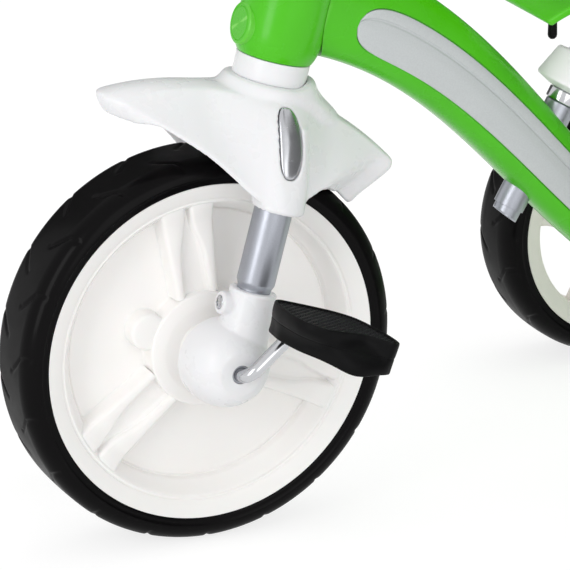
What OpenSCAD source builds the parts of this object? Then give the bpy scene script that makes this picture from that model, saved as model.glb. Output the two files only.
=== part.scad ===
// Push-along trike for a toddler: curved main beam, pedal-driven front wheel under a
// winged mudguard, two free rear wheels, a seat that slides in its post, and a
// telescopic push bar. +X is forward, +Y is the rider's left, +Z is up.

/* [Front wheel] */
// Radius of the front tyre
front_r = 130; // [115:1:145]
// Width of the front tyre
front_w = 56; // [50:1:60]
// Half width of the front tread at full radius
front_tread = 14.5; // [10:0.5:18]
// Radius where the front tyre meets its rim
front_rim_r = 113.5; // [104:0.5:116]
// Radius of the closed disc inside the front rim
disc_r = 90; // [80:1:96]
// Half thickness of the closed disc
disc_half = 5; // [3:0.5:8]
// Radius of the raised ring round the hub
hub_ring_r = 38.5; // [34:0.5:42]
// Distance from the wheel's middle to the hub ring's face
hub_ring_half = 18.5; // [16:0.5:24]
// Radius of the front hub's ends
hub_end_r = 20; // [14:0.5:26]
// Number of spokes in each wheel
spokes = 3; // [3:1:4]
// Distance from the wheel's middle to the top of a spoke rib
rib_half = 17; // [12:0.5:19]
// Angle of the first front spoke ahead of upright
spoke_turn = 8; // [0:1:60]
// Radius of the round boss beside the hub ring
lobe_r = 12.5; // [10:0.5:17]
// Number of tread scallops on each shoulder of the front tyre
front_scallops = 19; // [12:1:24]

/* [Rear wheels] */
// Radius of the rear tyres
rear_r = 98; // [90:1:110]
// Width of the rear tyres
rear_w = 56; // [50:1:60]
// Half width of the rear tread at full radius
rear_tread = 9; // [7:0.5:14]
// Radius where a rear tyre meets its rim
rear_rim_r = 81.5; // [74:0.5:84]
// Radius of the open part of a rear rim
rear_open_r = 68; // [60:0.5:70]
// Radius of a rear hub
rear_hub_r = 27; // [22:0.5:32]
// Half thickness of a rear spoke
rear_spoke_half = 11; // [7:0.5:14]
// Half angle that a rear spoke covers
rear_spoke_half_turn = 27; // [18:1:36]
// Number of tread scallops on each shoulder of a rear tyre
rear_scallops = 14; // [10:1:20]
// Radius of the rear axle
axle_r = 5; // [4:0.25:6]
// Distance between the rear wheels' middle planes
rear_track = 401.4; // [380:0.2:430]
// Distance from the front axle back to the rear axle
wheelbase = 416; // [400:1:440]

/* [Tyres] */
// Drop of a tyre's shoulder from the tread to its widest place
shoulder_drop = 13; // [10:0.5:15]
// Depth of a rim's channel below the edge where the tyre shows
rim_channel = 8.5; // [6:0.5:10]
// Thickness of a rim's side flange
rim_flange = 3.5; // [2.5:0.5:5]
// How far a tyre stands out past its rim on each side
tyre_proud = 1; // [0.5:0.25:2]
// Width of a rim's visible side band
rim_band = 12.5; // [9:0.5:14]
// How far a rim's side band falls inward
rim_dish = 6; // [3:0.5:8]
// Depth of a tread scallop
scallop_depth = 1.1; // [0.8:0.1:2]
// Radius of the round tool that leaves a scallop
scallop_r = 11; // [8:0.5:14]

/* [Fork] */
// Lean of the steering axis back from upright
rake = 14.8; // [8:0.1:22]
// Distance of the front axle ahead of the steering axis
axle_offset = 5.8; // [3:0.1:10]
// Distance between the two fork tubes' middles
fork_gap = 100; // [98:0.5:110]
// Radius of a fork tube
fork_tube_r = 12.5; // [11:0.25:13]
// Wall of a fork tube
fork_wall = 1.5; // [1:0.25:2.5]
// Radius of the swaged lower end of a fork tube
swage_r = 11; // [9:0.25:11]
// Height of the swaged end's shoulder above the front axle
swage_h = 56; // [54:0.5:64]
// Height of the fork tubes' tops above the front axle
fork_top_h = 113; // [110:0.5:114]
// Height of the steel crown's middle above the front axle
crown_h = 158; // [156:0.5:160]
// Radius of the steel crown's arms
crown_arm_r = 7; // [5:0.5:8]
// Radius of the steel crown's lug round the steerer
crown_lug_r = 18; // [16:0.5:20]
// Radius of the steerer tube
steerer_r = 12.7; // [11:0.1:13.5]
// Wall of the steerer tube
steerer_wall = 2; // [1.5:0.25:3]
// Height of the collar's foot above the front axle
collar_h = 178.3; // [176:0.1:182]
// Height of the collar
collar_t = 13.4; // [10:0.1:18]
// Radius of the collar
collar_r = 23.5; // [21:0.25:26]

/* [Mudguard] */
// Height of the mudguard's crown above the front axle
guard_h = 172; // [168:0.5:176]
// Wall of the mudguard
guard_wall = 3; // [2:0.25:4]
// Reach of the mudguard ahead of the steering axis
guard_front = 108; // [95:0.5:115]
// Reach of the mudguard behind the steering axis
guard_rear = 104; // [92:0.5:110]
// Drop of the mudguard's spine at its front edge
guard_front_drop = 23; // [16:0.5:28]
// Drop of the mudguard's spine at its rear edge
guard_rear_drop = 30; // [22:0.5:34]
// Half width of the mudguard's skirt beside the fork tubes
guard_half = 63; // [60:0.5:66]
// Height of the skirt's lowest edge above the front axle
skirt_h = 105; // [100:0.5:110]
// Half width of the mudguard at its front and rear tips
tip_half = 24; // [18:0.5:30]
// Half width of the spine over the fork
spine_half = 36; // [30:0.5:42]
// Depth of the turned-down lip at the front
front_lip = 17; // [10:0.5:20]
// Depth of the turned-down lip at the rear
rear_lip = 24; // [14:0.5:28]
// Set-back of the front corners from the front edge's middle
front_bow = 7; // [0:0.5:12]
// Set-back of the rear corners from the rear edge's middle
rear_bow = 28; // [10:0.5:32]
// Radius of the pillar round each fork tube
pillar_r = 17.7; // [17:0.1:18]
// Height of the silver insert in a pillar
insert_l = 48; // [36:0.5:52]
// Width of the silver insert in a pillar
insert_w = 17; // [12:0.5:19]

/* [Crank and pedals] */
// Radius of the crank rod
crank_r = 4.5; // [4:0.1:5]
// Length of each crank arm
crank_l = 55; // [48:0.5:62]
// Angle of the left arm behind upright
crank_turn = 50; // [0:1:90]
// Inside bend radius of the crank rod, to its middle
crank_bend = 9; // [8:0.5:12]
// Distance from the wheel's middle to a dropout's outer face
dropout_face = 72.5; // [70:0.5:76]
// Radius of a dropout's dome
dropout_r = 29; // [26:0.5:32]
// Radius of the socket that takes a fork tube
socket_r = 15.5; // [14.5:0.25:17]
// Height of that socket's top above the front axle
socket_h = 51; // [46:0.5:53]
// Length of a pedal, front to back
pedal_l = 64; // [54:0.5:70]
// Width of a pedal, along its spindle
pedal_w = 58; // [50:0.5:66]
// Thickness of a pedal
pedal_t = 21; // [17:0.5:24]
// Slope of a pedal's tread, rear end down
pedal_tilt = 19; // [0:1:30]

/* [Main beam] */
// Depth of the beam at the head tube
beam_depth_head = 71; // [66:0.5:74]
// Depth that the beam tends to in its middle
beam_depth_mid = 48; // [44:0.5:56]
// Depth of the beam at its tail
beam_depth_tail = 44; // [42:0.5:50]
// Width of the beam
beam_w = 46; // [42:0.5:52]
// Distance of the beam's start behind the front axle
beam_start_back = 66; // [60:0.5:72]
// Height of the beam's start above the ground
beam_start_h = 355; // [350:0.5:360]
// Slope of the beam at the head tube
beam_head_slope = 15; // [10:0.5:20]
// Slope of the beam at the rear axle
beam_tail_slope = 11; // [6:0.5:16]
// Pull of the head slope along the beam
beam_head_pull = 175; // [150:1:190]
// Pull of the tail slope along the beam
beam_tail_pull = 174; // [150:1:190]
// Length of the beam past the rear axle
beam_tail = 18; // [16:0.5:26]
// Depth of the recess for a side panel
panel_recess = 2.6; // [2:0.1:4]
// Gap round a side panel
panel_gap = 1; // [0.5:0.1:1.5]
// Height of the head tube
head_l = 88; // [80:0.5:96]
// Radius of the head tube at its ends
head_end_r = 24.6; // [22:0.2:26]
// Radius of the head tube in its middle
head_mid_r = 29; // [27:0.25:31]
// Radius of the bore for the head bushes
head_bore_r = 17; // [15:0.25:19]
// Length of a head bush
head_bush_l = 20; // [14:0.5:26]

/* [Seat] */
// Lean of the seat post back from upright
post_lean = 29.5; // [26:0.5:32]
// Distance of the seat tube's foot behind the front axle
post_back = 227; // [222:0.5:232]
// Height of the seat tube's foot above the ground
post_foot_h = 191; // [186:0.5:196]
// Radius of the seat tube
seat_tube_r = 10.5; // [9.75:0.1:11.5]
// Length of the seat tube
seat_tube_l = 77; // [74:0.5:84]
// Radius of the seat post
post_r = 9.2; // [8.4:0.1:9.4]
// Wall of the seat post
post_wall = 1.5; // [1:0.1:2]
// How far the post shows below the seat tube
post_below = 6; // [4:0.5:12]
// Height of the clamp ring on the seat tube
ring_t = 8; // [6:0.5:12]
// Radius of the clamp ring
ring_r = 11.8; // [11.6:0.1:14]
// Radius of the seat bracket's drum
drum_r = 24; // [20:0.5:28]
// Height of the seat bracket's drum
drum_t = 21; // [16:0.5:26]
// Width of the seat
seat_w = 250; // [220:1:280]
// Length of the seat pan's flat part
seat_l = 115; // [105:1:130]
// Height of the backrest above the pan
back_h = 225; // [190:1:260]
// Lean of the backrest
back_lean = 12; // [6:1:18]
// Wall of the seat shell
seat_wall = 5; // [4:0.5:7]
// Rise of the seat above the drum's middle
seat_rise = 55; // [48:0.5:65]

/* [Handlebar] */
// Radius of the handlebar tube
bar_r = 11; // [9.5:0.25:12]
// Wall of the handlebar tube
bar_wall = 1.5; // [1:0.25:2]
// Half width of the handlebar's straight middle
bar_mid = 42; // [40:0.5:52]
// Length of the rising part of the handlebar
bar_rise = 46; // [36:0.5:60]
// Angle of the rise
bar_rise_turn = 38; // [25:1:48]
// Bend radius of the handlebar
bar_bend = 42; // [36:1:52]
// Length of each handlebar end
bar_end = 104; // [96:1:120]
// Backward lean of the handlebar from the steering axis
bar_lean = 22; // [5:1:35]
// Height of the handlebar's middle above the front axle
bar_h = 336; // [332:0.5:346]
// Radius of a hand grip
grip_r = 15; // [13.5:0.25:17]
// Radius of a hand grip's guard
grip_guard_r = 21; // [18:0.5:24]

/* [Push bar] */
// Distance of the push bar's foot behind the front axle
push_back = 392; // [388:0.5:396]
// Height of the push bar's foot above the ground
push_foot_h = 112; // [108:0.5:116]
// Lean of the push bar
push_lean = 15; // [10:0.5:18]
// Length of the push bar at rest, from foot to cross tube
push_l = 860; // [800:1:950]
// Radius of the lower push tube
push_r = 12.7; // [12.2:0.1:13.2]
// Wall of the push tubes
push_wall = 1.5; // [1.2:0.1:1.8]
// Length of the lower push tube
push_lower_l = 400; // [360:1:440]
// Telescopic travel of the push bar
push_travel = 150; // [100:1:170]
// Half width of the push bar's cross tube
cross_half = 130; // [110:1:160]
// Radius of the cross tube
cross_r = 10; // [9:0.25:11]
// Radius of the foam grips
foam_r = 16; // [14:0.25:18]
// Radius of the lock collar
lock_r = 19; // [18:0.25:22]
// Height of the lock collar
lock_t = 46; // [40:0.5:54]
// Radius of the lock button
button_r = 6; // [5:0.25:7]
// Travel of the lock button
button_travel = 3.5; // [2:0.25:4]

/* [Hidden] */
$fn = 64;

// Shared clearances and cuts
run_gap = 0.05;
fit_gap = 0.02;
face_gap = 0.3;
over = 1;
hull_fn = 32;

// Colours
green = [0.30, 0.74, 0.15];
white = [0.95, 0.95, 0.94];
silver = [0.75, 0.76, 0.78];
panel_grey = [0.73, 0.75, 0.76];
black = [0.06, 0.06, 0.06];

// Places along the ground: the origin is under the middle of the whole trike
push_top_back = push_back + push_l * sin(push_lean);
front_x = (push_top_back + foam_r - front_r) / 2;
rear_x = front_x - wheelbase;

// Small sizes of the wheels
arc_steps = 5;
tyre_shrink = 0.1;
lobe_turn_share = 0.5;
rib_foot_shares = [0.39, 0.64, 0.74, 0.84, 0.93, 1];
rib_inner_shares = [0.4, 0.35, 0.28, 0.14, 0.06, 0.05];
rib_flank_shares = [0.77, 0.83, 0.85, 0.89, 0.95, 1.1];
rib_half_w = 20;
groove_half = 12.5;
rib_bite = 3;
hub_wall = 9;
scallop_from = 6;
scallop_tilt = 24;
scallop_skew = 28;
scallop_l = 17;
rear_bush_r = 8;
rear_hub_half = 29;
cap_r = 24;
cap_t = 7;
cap_wall = 2.5;
cap_spigot = 6;
nut_r = 8;
nut_t = 4;
axle_tube_r = 15;
axle_tube_wall = 2;
hub_face_gap = 1;
plug_l = 22;
plug_flange = 3;

// Small sizes of the fork
crank_bush_r = 6.2;
pedal_side_gap = 1;
pedal_waist = 1;
pedal_tight_share = 0.33;
pedal_wide_share = 0.36;
pedal_end_wall = 4;
dome_base = 36.5;
dome_base_t = 4;
dome_tip_share = 0.5;
screw_boss_r = 7.4;
screw_boss_h = 40;
screw_boss_reach = 22;
screw_head_r = 4.6;
screw_head_t = 2.4;
screw_shank_r = 2;
neck_r_out = 28.5;
neck_flare = 8;
neck_drop = 9.5;
pillar_lean_y = 27;
pillar_top_h = 156;
pillar_top_r = 16;
pillar_spread = 4.5;
insert_h = 148;
insert_y = 47;
insert_tilt = 27;
insert_t = 2.2;
insert_sink = 4.5;
well_gap = 4;
crown_foot_t = 3;
crown_foot_r = 8;
crown_plug_l = 10;
crown_arm_y = 18;
skirt_power = 1.5;
skirt_round_power = 1.3;
spine_round_power = 0.7;
front_drop_power = 2.6;
rear_drop_power = 1.5;
roof_share = 0.4;
skirt_hollow_share = 0.3;
roof_crown = 3;
lip_rake_share = 0.7;
lip_shares = [1, 0.5];
lip_end_share = 0.9;
guard_half_rows = 10;
guard_col_shares = [0.2, 0.4, 0.46, 0.54, 0.66, 0.82, 1];
tube_foot_h = 24;
collar_flare = 0.5;
stem_neck_r = 16.5;
stem_clamp_r = 18;
stem_clamp_half = 36;
stem_reach = 8;
stem_foot_gap = 1;
stem_cap_r = 15;
stem_cap_t = 6;
grip_l = 100;
tube_sides = 20;
grip_guard_t = 6;
grip_end_t = 5;

// Small sizes of the frame
beam_steps = 26;
beam_sides = 28;
beam_squareness = 2.7;
panel_mid_share = 0.03;
panel_half_share = 0.255;
panel_start_share = 0.085;
panel_end_share = 0.84;
panel_crease = 0.8;
panel_end_power = 16;
panel_tip_share = 0.35;
head_power = 5.8;
head_boss_r = 14;
head_boss_h = 18;
head_boss_proud = 0.8;
button_from_top = 24;
button_cap_t = 4;
push_guide = 80;
push_seat_depth = 24;
push_socket_r = 18.5;
sleeve_taper = 1;
push_socket_t = 46;
tee_r = 16;
tee_half = 30;
tee_drop = 48;
tee_web = 2;
foam_end_t = 5;

// Small sizes of the seat
flange_l = 90;
flange_w = 84;
flange_t = 6;
flange_ahead = 8;
drum_top_share = 0.78;
drum_skirt = 4;
neck_r = 12;
seat_rows = 22;
seat_cols = 12;
seat_front_ahead = 54;
seat_nose_r = 34;
seat_nose_turn = 40;
seat_bend_r = 52;
seat_flat_share = 0.5;
seat_bolster = 34;
seat_back_bolster = 30;
seat_front_share = 0.56;
seat_top_share = 0.66;
seat_front_run_share = 0.3;
seat_top_run_share = 0.6;
seat_rise_run_share = 0.22;
seat_top_rise_share = 0.4;
seat_screw_r = 2.5;
seat_screw_head_r = 5;
seat_screw_head_t = 3;
seat_screw_inset = 12;
lever_inset = 7;
lever_pivot_drop = 12;
lever_r = 3.2;
lever_drop = 24;
lever_pin_r = 2;
lever_barrel_r = 4.5;
lever_half = 4;
lever_ear_t = 4;
lever_ear_r = 6;

// Derived sizes
head_h = collar_h + collar_t + face_gap;
head_top_h = head_h + head_l;
fork_y = fork_gap / 2;
hub_half = fork_y - socket_r - face_gap;
push_upper_r = push_r - push_wall - run_gap;
push_overlap = push_travel + push_guide;
arm_y = dropout_face + crank_bend;
bar_end_x = 2 * bar_bend * (1 - cos(bar_rise_turn)) + bar_rise * sin(bar_rise_turn);
bar_end_y = bar_mid + 2 * bar_bend * sin(bar_rise_turn) + bar_rise * cos(bar_rise_turn);
drum_top = seat_tube_l + ring_t + face_gap + drum_skirt + drum_t;
seat_h = post_foot_h + drum_top * cos(post_lean) + seat_rise;
post_top = (seat_h - flange_t - post_foot_h) / cos(post_lean);
flange_x = front_x - post_back - (seat_h - post_foot_h) * tan(post_lean) + flange_ahead;
lever_x = flange_x + flange_l / 2 - lever_inset;
lever_z = seat_h - lever_pivot_drop;
seat_front_x = flange_x + seat_front_ahead;
pedal_in_y = arm_y + crank_bend + pedal_side_gap;

// Points of an ellipse arc round (cx, cy), from angle a to angle b
function arc(cx, cy, rx, ry, a, b, n = arc_steps) =
  [for (i = [0 : n]) let (t = a + (b - a) * i / n) [cx + rx * cos(t), cy + ry * sin(t)]];
function mirrored(points) = [for (i = [len(points) - 1 : -1 : 0]) [points[i][0], -points[i][1]]];
function swapped(points) = [for (p = points) [p[1], p[0]]];
function unit(v) = v / max(norm(v), 1e-9);
function clampi(i, n) = min(max(i, 0), n - 1);
function mix(a, b, t) = a + (b - a) * t;

// Puts a child in the wheel's own frame: its axle along +Y
module on_axle(x, y, z) {
  translate([x, y, z])
    rotate([-90, 0, 0])
      children();
}

// Local frame of the steered parts: z along the steering axis, x ahead of it
module steered() {
  translate([front_x, 0, front_r])
    rotate([0, -rake, 0])
      translate([-axle_offset, 0, 0])
        children();
}

module on_post() {
  translate([front_x - post_back, 0, post_foot_h])
    rotate([0, -post_lean, 0])
      children();
}

module on_push() {
  translate([front_x - push_back, 0, push_foot_h])
    rotate([0, -push_lean, 0])
      children();
}

module pipe(r, wall, l) {
  difference() {
    cylinder(r = r, h = l);
    translate([0, 0, -over])
      cylinder(r = r - wall, h = l + 2 * over);
  }
}

module ring(r_out, r_in, t) {
  pipe(r_out, r_out - r_in, t);
}

// A closed skin with a wall, from a grid of outer points
module shell(outer, wall) {
  rows = len(outer);
  cols = len(outer[0]);
  inner = [
    for (i = [0 : rows - 1]) [
      for (j = [0 : cols - 1])
        let (along = outer[clampi(i + 1, rows)][j] - outer[clampi(i - 1, rows)][j])
        let (across = outer[i][clampi(j + 1, cols)] - outer[i][clampi(j - 1, cols)])
        outer[i][j] - wall * unit(cross(along, across))
    ]
  ];
  count = rows * cols;
  points = [for (row = outer) each row, for (row = inner) each row];
  faces = [
    for (i = [0 : rows - 2]) for (j = [0 : cols - 2])
      let (a = i * cols + j, b = a + 1, c = a + cols, d = c + 1)
        each [[a, b, d], [a, d, c], [count + a, count + d, count + b],
              [count + a, count + c, count + d]],
    for (i = [0 : rows - 2]) for (side = [0, 1])
      let (a = i * cols + side * (cols - 1), b = a + cols)
        each side == 0 ? [[a, b, count + b], [a, count + b, count + a]]
                       : [[a, count + b, b], [a, count + a, count + b]],
    for (j = [0 : cols - 2]) for (side = [0, 1])
      let (a = side * (rows - 1) * cols + j, b = a + 1)
        each side == 0 ? [[a, count + b, b], [a, count + a, count + b]]
                       : [[a, b, count + b], [a, count + b, count + a]]
  ];
  polyhedron(points, faces);
}

// A closed body skinned over rings of points
module skin(rings) {
  sides = len(rings[0]);
  last = (len(rings) - 1) * sides;
  faces = [
    for (i = [0 : len(rings) - 2]) for (j = [0 : sides - 1])
      let (a = i * sides + j, b = i * sides + (j + 1) % sides)
        each [[a, b, b + sides], [a, b + sides, a + sides]],
    [for (j = [sides - 1 : -1 : 0]) j],
    [for (j = [0 : sides - 1]) last + j]
  ];
  polyhedron([for (r = rings) each r], faces);
}

// Tyres and rims

function tyre_half(r, w, tread, rim_r) = concat(
  [[rim_r - rim_channel + tyre_shrink, w / 2 - tyre_proud - rim_flange - tyre_shrink],
   [rim_r + tyre_shrink, w / 2 - tyre_proud - rim_flange - tyre_shrink],
   [rim_r + tyre_shrink, w / 2 - tyre_proud]],
  swapped(arc(tread, r - shoulder_drop, w / 2 - tread, shoulder_drop, 0, 90))
);

module tyre(r, w, tread, rim_r, scallops) {
  half = tyre_half(r, w, tread, rim_r);
  difference() {
    rotate_extrude()
      polygon(concat(half, mirrored(half)));
    for (k = [0 : scallops - 1]) for (side = [-1, 1])
      rotate(360 * (k + (side + 1) / 4) / scallops)
        translate([r + scallop_r - scallop_depth, 0, side * scallop_from])
          rotate([side * scallop_skew, 0, 0])
            rotate([0, -side * scallop_tilt, 0])
              mirror([0, 0, side < 0 ? 1 : 0])
                cylinder(r = scallop_r, h = scallop_l);
  }
}

function rim_half(w, rim_r, inner) = concat(
  [[rim_r - rim_channel, 0],
   [rim_r - rim_channel, w / 2 - tyre_proud - rim_flange],
   [rim_r, w / 2 - tyre_proud - rim_flange],
   [rim_r, w / 2 - tyre_proud],
   [rim_r - rim_band, w / 2 - tyre_proud - rim_dish]],
  inner
);

// One side of a front spoke, pointing along +x: a rib beside the shallow groove
module spoke_rib(side) {
  reach = front_rim_r - rim_band - rib_bite;
  feet = reach * rib_foot_shares;
  last = len(feet) - 1;
  inner = [for (i = [0 : last]) [feet[i], side * rib_half_w * rib_inner_shares[i]]];
  flank = [for (i = [last : -1 : 0]) [feet[i], side * rib_half_w * rib_flank_shares[i]]];
  linear_extrude(height = 2 * rib_half, center = true)
    polygon(concat(inner, flank));
  linear_extrude(height = 2 * groove_half, center = true)
    polygon(concat([[feet[0], -side * fit_gap], [reach, -side * fit_gap]], flank));
}

module front_tyre() {
  color(black)
    on_axle(front_x, 0, front_r)
      tyre(front_r, front_w, front_tread, front_rim_r, front_scallops);
}

module front_rim() {
  wall_foot = [[disc_r, disc_half], [hub_ring_r, disc_half], [hub_ring_r, hub_ring_half],
               [hub_end_r, hub_ring_half], [hub_end_r, hub_half], [0, hub_half]];
  half = rim_half(front_w, front_rim_r, wall_foot);
  color(white)
    on_axle(front_x, 0, front_r)
      difference() {
        union() {
          rotate_extrude()
            polygon(concat(half, mirrored(half)));
          for (k = [0 : spokes - 1]) for (side = [-1, 1])
            rotate(spoke_turn - 90 + 360 * k / spokes)
              spoke_rib(side);
          rotate(spoke_turn - 90 + 360 * lobe_turn_share / spokes)
            translate([hub_ring_r + lobe_r / spokes, 0, 0])
              cylinder(r = lobe_r, h = 2 * rib_half, center = true);
        }
        cylinder(r = crank_r + fit_gap, h = 2 * hub_half + 2 * over, center = true);
      }
}

module rear_tyre(side) {
  color(black)
    on_axle(rear_x, side * rear_track / 2, rear_r)
      tyre(rear_r, rear_w, rear_tread, rear_rim_r, rear_scallops);
}

module rear_rim(side) {
  half = rim_half(rear_w, rear_rim_r,
                  [[rear_open_r, rear_spoke_half + rim_dish], [rear_open_r, 0]]);
  gap = 180 / spokes - rear_spoke_half_turn;
  past_r = rear_open_r + 2 * rib_bite;
  color(white)
    on_axle(rear_x, side * rear_track / 2, rear_r)
      difference() {
        union() {
          rotate_extrude()
            polygon(concat(half, mirrored(half)));
          difference() {
            cylinder(r = rear_open_r + rib_bite, h = 2 * rear_spoke_half, center = true);
            for (k = [0 : spokes - 1])
              rotate(90 + 180 / spokes + 360 * k / spokes)
                linear_extrude(height = 2 * rear_spoke_half + 2 * over, center = true)
                  polygon(concat(
                    arc(0, 0, rear_hub_r + hub_wall, rear_hub_r + hub_wall, gap / 2, -gap / 2),
                    arc(0, 0, past_r, past_r, -gap, gap)
                  ));
          }
          cylinder(r = rear_hub_r, h = 2 * rear_hub_half, center = true);
        }
        cylinder(r = rear_bush_r + fit_gap, h = 2 * rear_hub_half + 2 * over, center = true);
        translate([0, 0, side * (rear_hub_half - cap_spigot)])
          mirror([0, 0, side < 0 ? 1 : 0])
            cylinder(r = cap_r - cap_wall, h = cap_spigot + over);
      }
}

module rear_bush(side) {
  bush_l = 2 * rear_hub_half - cap_spigot - nut_t;
  color(silver)
    on_axle(rear_x, side * (rear_track / 2 - rear_hub_half), rear_r)
      mirror([0, 0, side < 0 ? 1 : 0])
        ring(rear_bush_r, axle_r + run_gap, bush_l);
}

// Snap-in cap over the axle's end, with a crowned face
module hub_cap(side) {
  crown = concat(
    [[cap_r - cap_wall - cap_wall, -cap_spigot + face_gap],
     [cap_r - cap_wall - fit_gap, -cap_spigot + face_gap],
     [cap_r - cap_wall - fit_gap, fit_gap], [cap_r, fit_gap]],
    arc(0, cap_wall, cap_r, cap_t - cap_wall, 0, 90),
    [[0, cap_t - cap_wall], [cap_r - 2 * cap_wall, 0]]
  );
  color(white)
    on_axle(rear_x, side * (rear_track / 2 + rear_hub_half), rear_r)
      mirror([0, 0, side < 0 ? 1 : 0])
        rotate_extrude()
          polygon(crown);
}

module rear_axle_tube() {
  half = rear_track / 2 - rear_hub_half - hub_face_gap - plug_flange;
  color(green)
    on_axle(rear_x, -half, rear_r)
      pipe(axle_tube_r, axle_tube_wall, 2 * half);
}

module axle_plugs() {
  half = rear_track / 2 - rear_hub_half - hub_face_gap;
  color(black)
    for (side = [-1, 1])
      on_axle(rear_x, side * half, rear_r)
        mirror([0, 0, side > 0 ? 1 : 0])
          difference() {
            union() {
              cylinder(r = axle_tube_r, h = plug_flange);
              cylinder(r = axle_tube_r - axle_tube_wall - fit_gap, h = plug_l);
            }
            translate([0, 0, -over])
              cylinder(r = axle_r + fit_gap, h = plug_l + 2 * over);
          }
}

module rear_axle() {
  half = rear_track / 2 + rear_hub_half - cap_spigot + nut_t / 2;
  color(silver)
    on_axle(rear_x, -half, rear_r)
      cylinder(r = axle_r, h = 2 * half);
}

module axle_nuts() {
  half = rear_track / 2 + rear_hub_half - cap_spigot - nut_t + face_gap;
  color(silver)
    for (side = [-1, 1])
      on_axle(rear_x, side * half, rear_r)
        mirror([0, 0, side < 0 ? 1 : 0])
          ring(nut_r, axle_r + fit_gap, nut_t);
}

// Crank rod: axle, two arms half a turn apart and two pedal spindles

module quarter_bend(r, bend) {
  rotate_extrude(angle = 90)
    translate([bend, 0, 0])
      circle(r = r);
}

// Half of the crank, its axle along +y and its arm along +z
module crank_half() {
  spindle_l = pedal_side_gap + pedal_w - pedal_end_wall - face_gap;
  rotate([-90, 0, 0])
    cylinder(r = crank_r, h = dropout_face);
  translate([0, dropout_face, crank_bend])
    rotate([0, -90, 0])
      mirror([1, 0, 0])
        quarter_bend(crank_r, crank_bend);
  translate([0, arm_y, crank_bend])
    cylinder(r = crank_r, h = crank_l - 2 * crank_bend);
  translate([0, arm_y + crank_bend, crank_l - crank_bend])
    rotate([0, -90, 0])
      mirror([0, 1, 0])
        quarter_bend(crank_r, crank_bend);
  translate([0, arm_y + crank_bend, crank_l])
    rotate([-90, 0, 0])
      cylinder(r = crank_r, h = spindle_l);
}

module crank() {
  color(silver)
    translate([front_x, 0, front_r])
      for (turn = [0, 180])
        rotate([0, turn - crank_turn, 0])
          rotate([0, 0, turn])
            crank_half();
}

// Leaf outline: two tight corners and two wide ones
function pedal_outline(grow) =
  let (l = pedal_l / 2 + grow, w = pedal_w / 2 + grow)
  let (tight = pedal_t * pedal_tight_share, wide = pedal_w * pedal_wide_share)
  concat(
    arc(l - tight, w - tight, tight, tight, 0, 90),
    arc(wide - l, w - wide, wide, wide, 90, 180),
    arc(tight - l, tight - w, tight, tight, 180, 270),
    arc(l - wide, wide - w, wide, wide, 270, 360)
  );

module pedal(side) {
  turn = side > 0 ? crank_turn : crank_turn + 180;
  y = pedal_in_y + pedal_w / 2;
  color(black)
    translate([front_x - crank_l * sin(turn), side * y, front_r + crank_l * cos(turn)])
      rotate([0, -pedal_tilt, 0])
        difference() {
          mirror([0, side > 0 ? 1 : 0, 0])
            union() {
              for (half = [0, 1])
                rotate([0, 180 * half, 0])
                  translate([0, 0, pedal_waist / 2])
                    linear_extrude(height = (pedal_t - pedal_waist) / 2)
                      polygon(pedal_outline(0));
              linear_extrude(height = pedal_waist + fit_gap, center = true)
                intersection_for(flip = [0, 1])
                  mirror([flip, 0])
                    polygon(pedal_outline(-pedal_waist));
            }
          translate([0, -side * (pedal_w / 2 + over), 0])
            rotate([-side * 90, 0, 0])
              cylinder(r = crank_r + run_gap, h = pedal_w - pedal_end_wall + over);
        }
}

// Fork

// Steel arch that joins the two fork tubes to the steerer, over the tyre
module crown_arch(grow) {
  plug_r = fork_tube_r - fork_wall - fit_gap;
  for (side = [-1, 1]) {
    hull() {
      translate([0, side * fork_y, fork_top_h - grow])
        cylinder(r = crown_foot_r + grow, h = crown_foot_t + 2 * grow, $fn = hull_fn);
      translate([0, side * crown_arm_y, crown_h])
        rotate([0, 90, 0])
          cylinder(r = crown_arm_r + grow, h = 2 * (crown_arm_r + grow), center = true, $fn = hull_fn);
    }
    translate([0, side * fork_y, fork_top_h - crown_plug_l])
      cylinder(r = plug_r, h = crown_plug_l + crown_foot_t);
  }
  translate([0, 0, crown_h - crown_arm_r - grow])
    cylinder(r = crown_lug_r + grow, h = 2 * (crown_arm_r + grow));
}

module fork_crown() {
  color(silver)
    steered()
      difference() {
        crown_arch(0);
        translate([0, 0, crown_h - 2 * crown_arm_r])
          cylinder(r = steerer_r + fit_gap, h = 4 * crown_arm_r);
      }
}

module steerer() {
  color(silver)
    steered()
      translate([0, 0, crown_h - crown_arm_r])
        pipe(steerer_r, steerer_wall, bar_h - stem_clamp_r - crown_h + crown_arm_r);
}

// Steel leg, necked down where it enters the dropout
module fork_tube(side) {
  neck = 2 * (fork_tube_r - swage_r);
  color(silver)
    steered()
      translate([0, side * fork_y, 0])
        rotate_extrude()
          polygon([
            [swage_r - fork_wall, tube_foot_h], [swage_r, tube_foot_h], [swage_r, swage_h - neck],
            [fork_tube_r, swage_h], [fork_tube_r, fork_top_h], [fork_tube_r - fork_wall, fork_top_h],
            [fork_tube_r - fork_wall, swage_h], [swage_r - fork_wall, swage_h - neck]
          ]);
}

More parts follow.
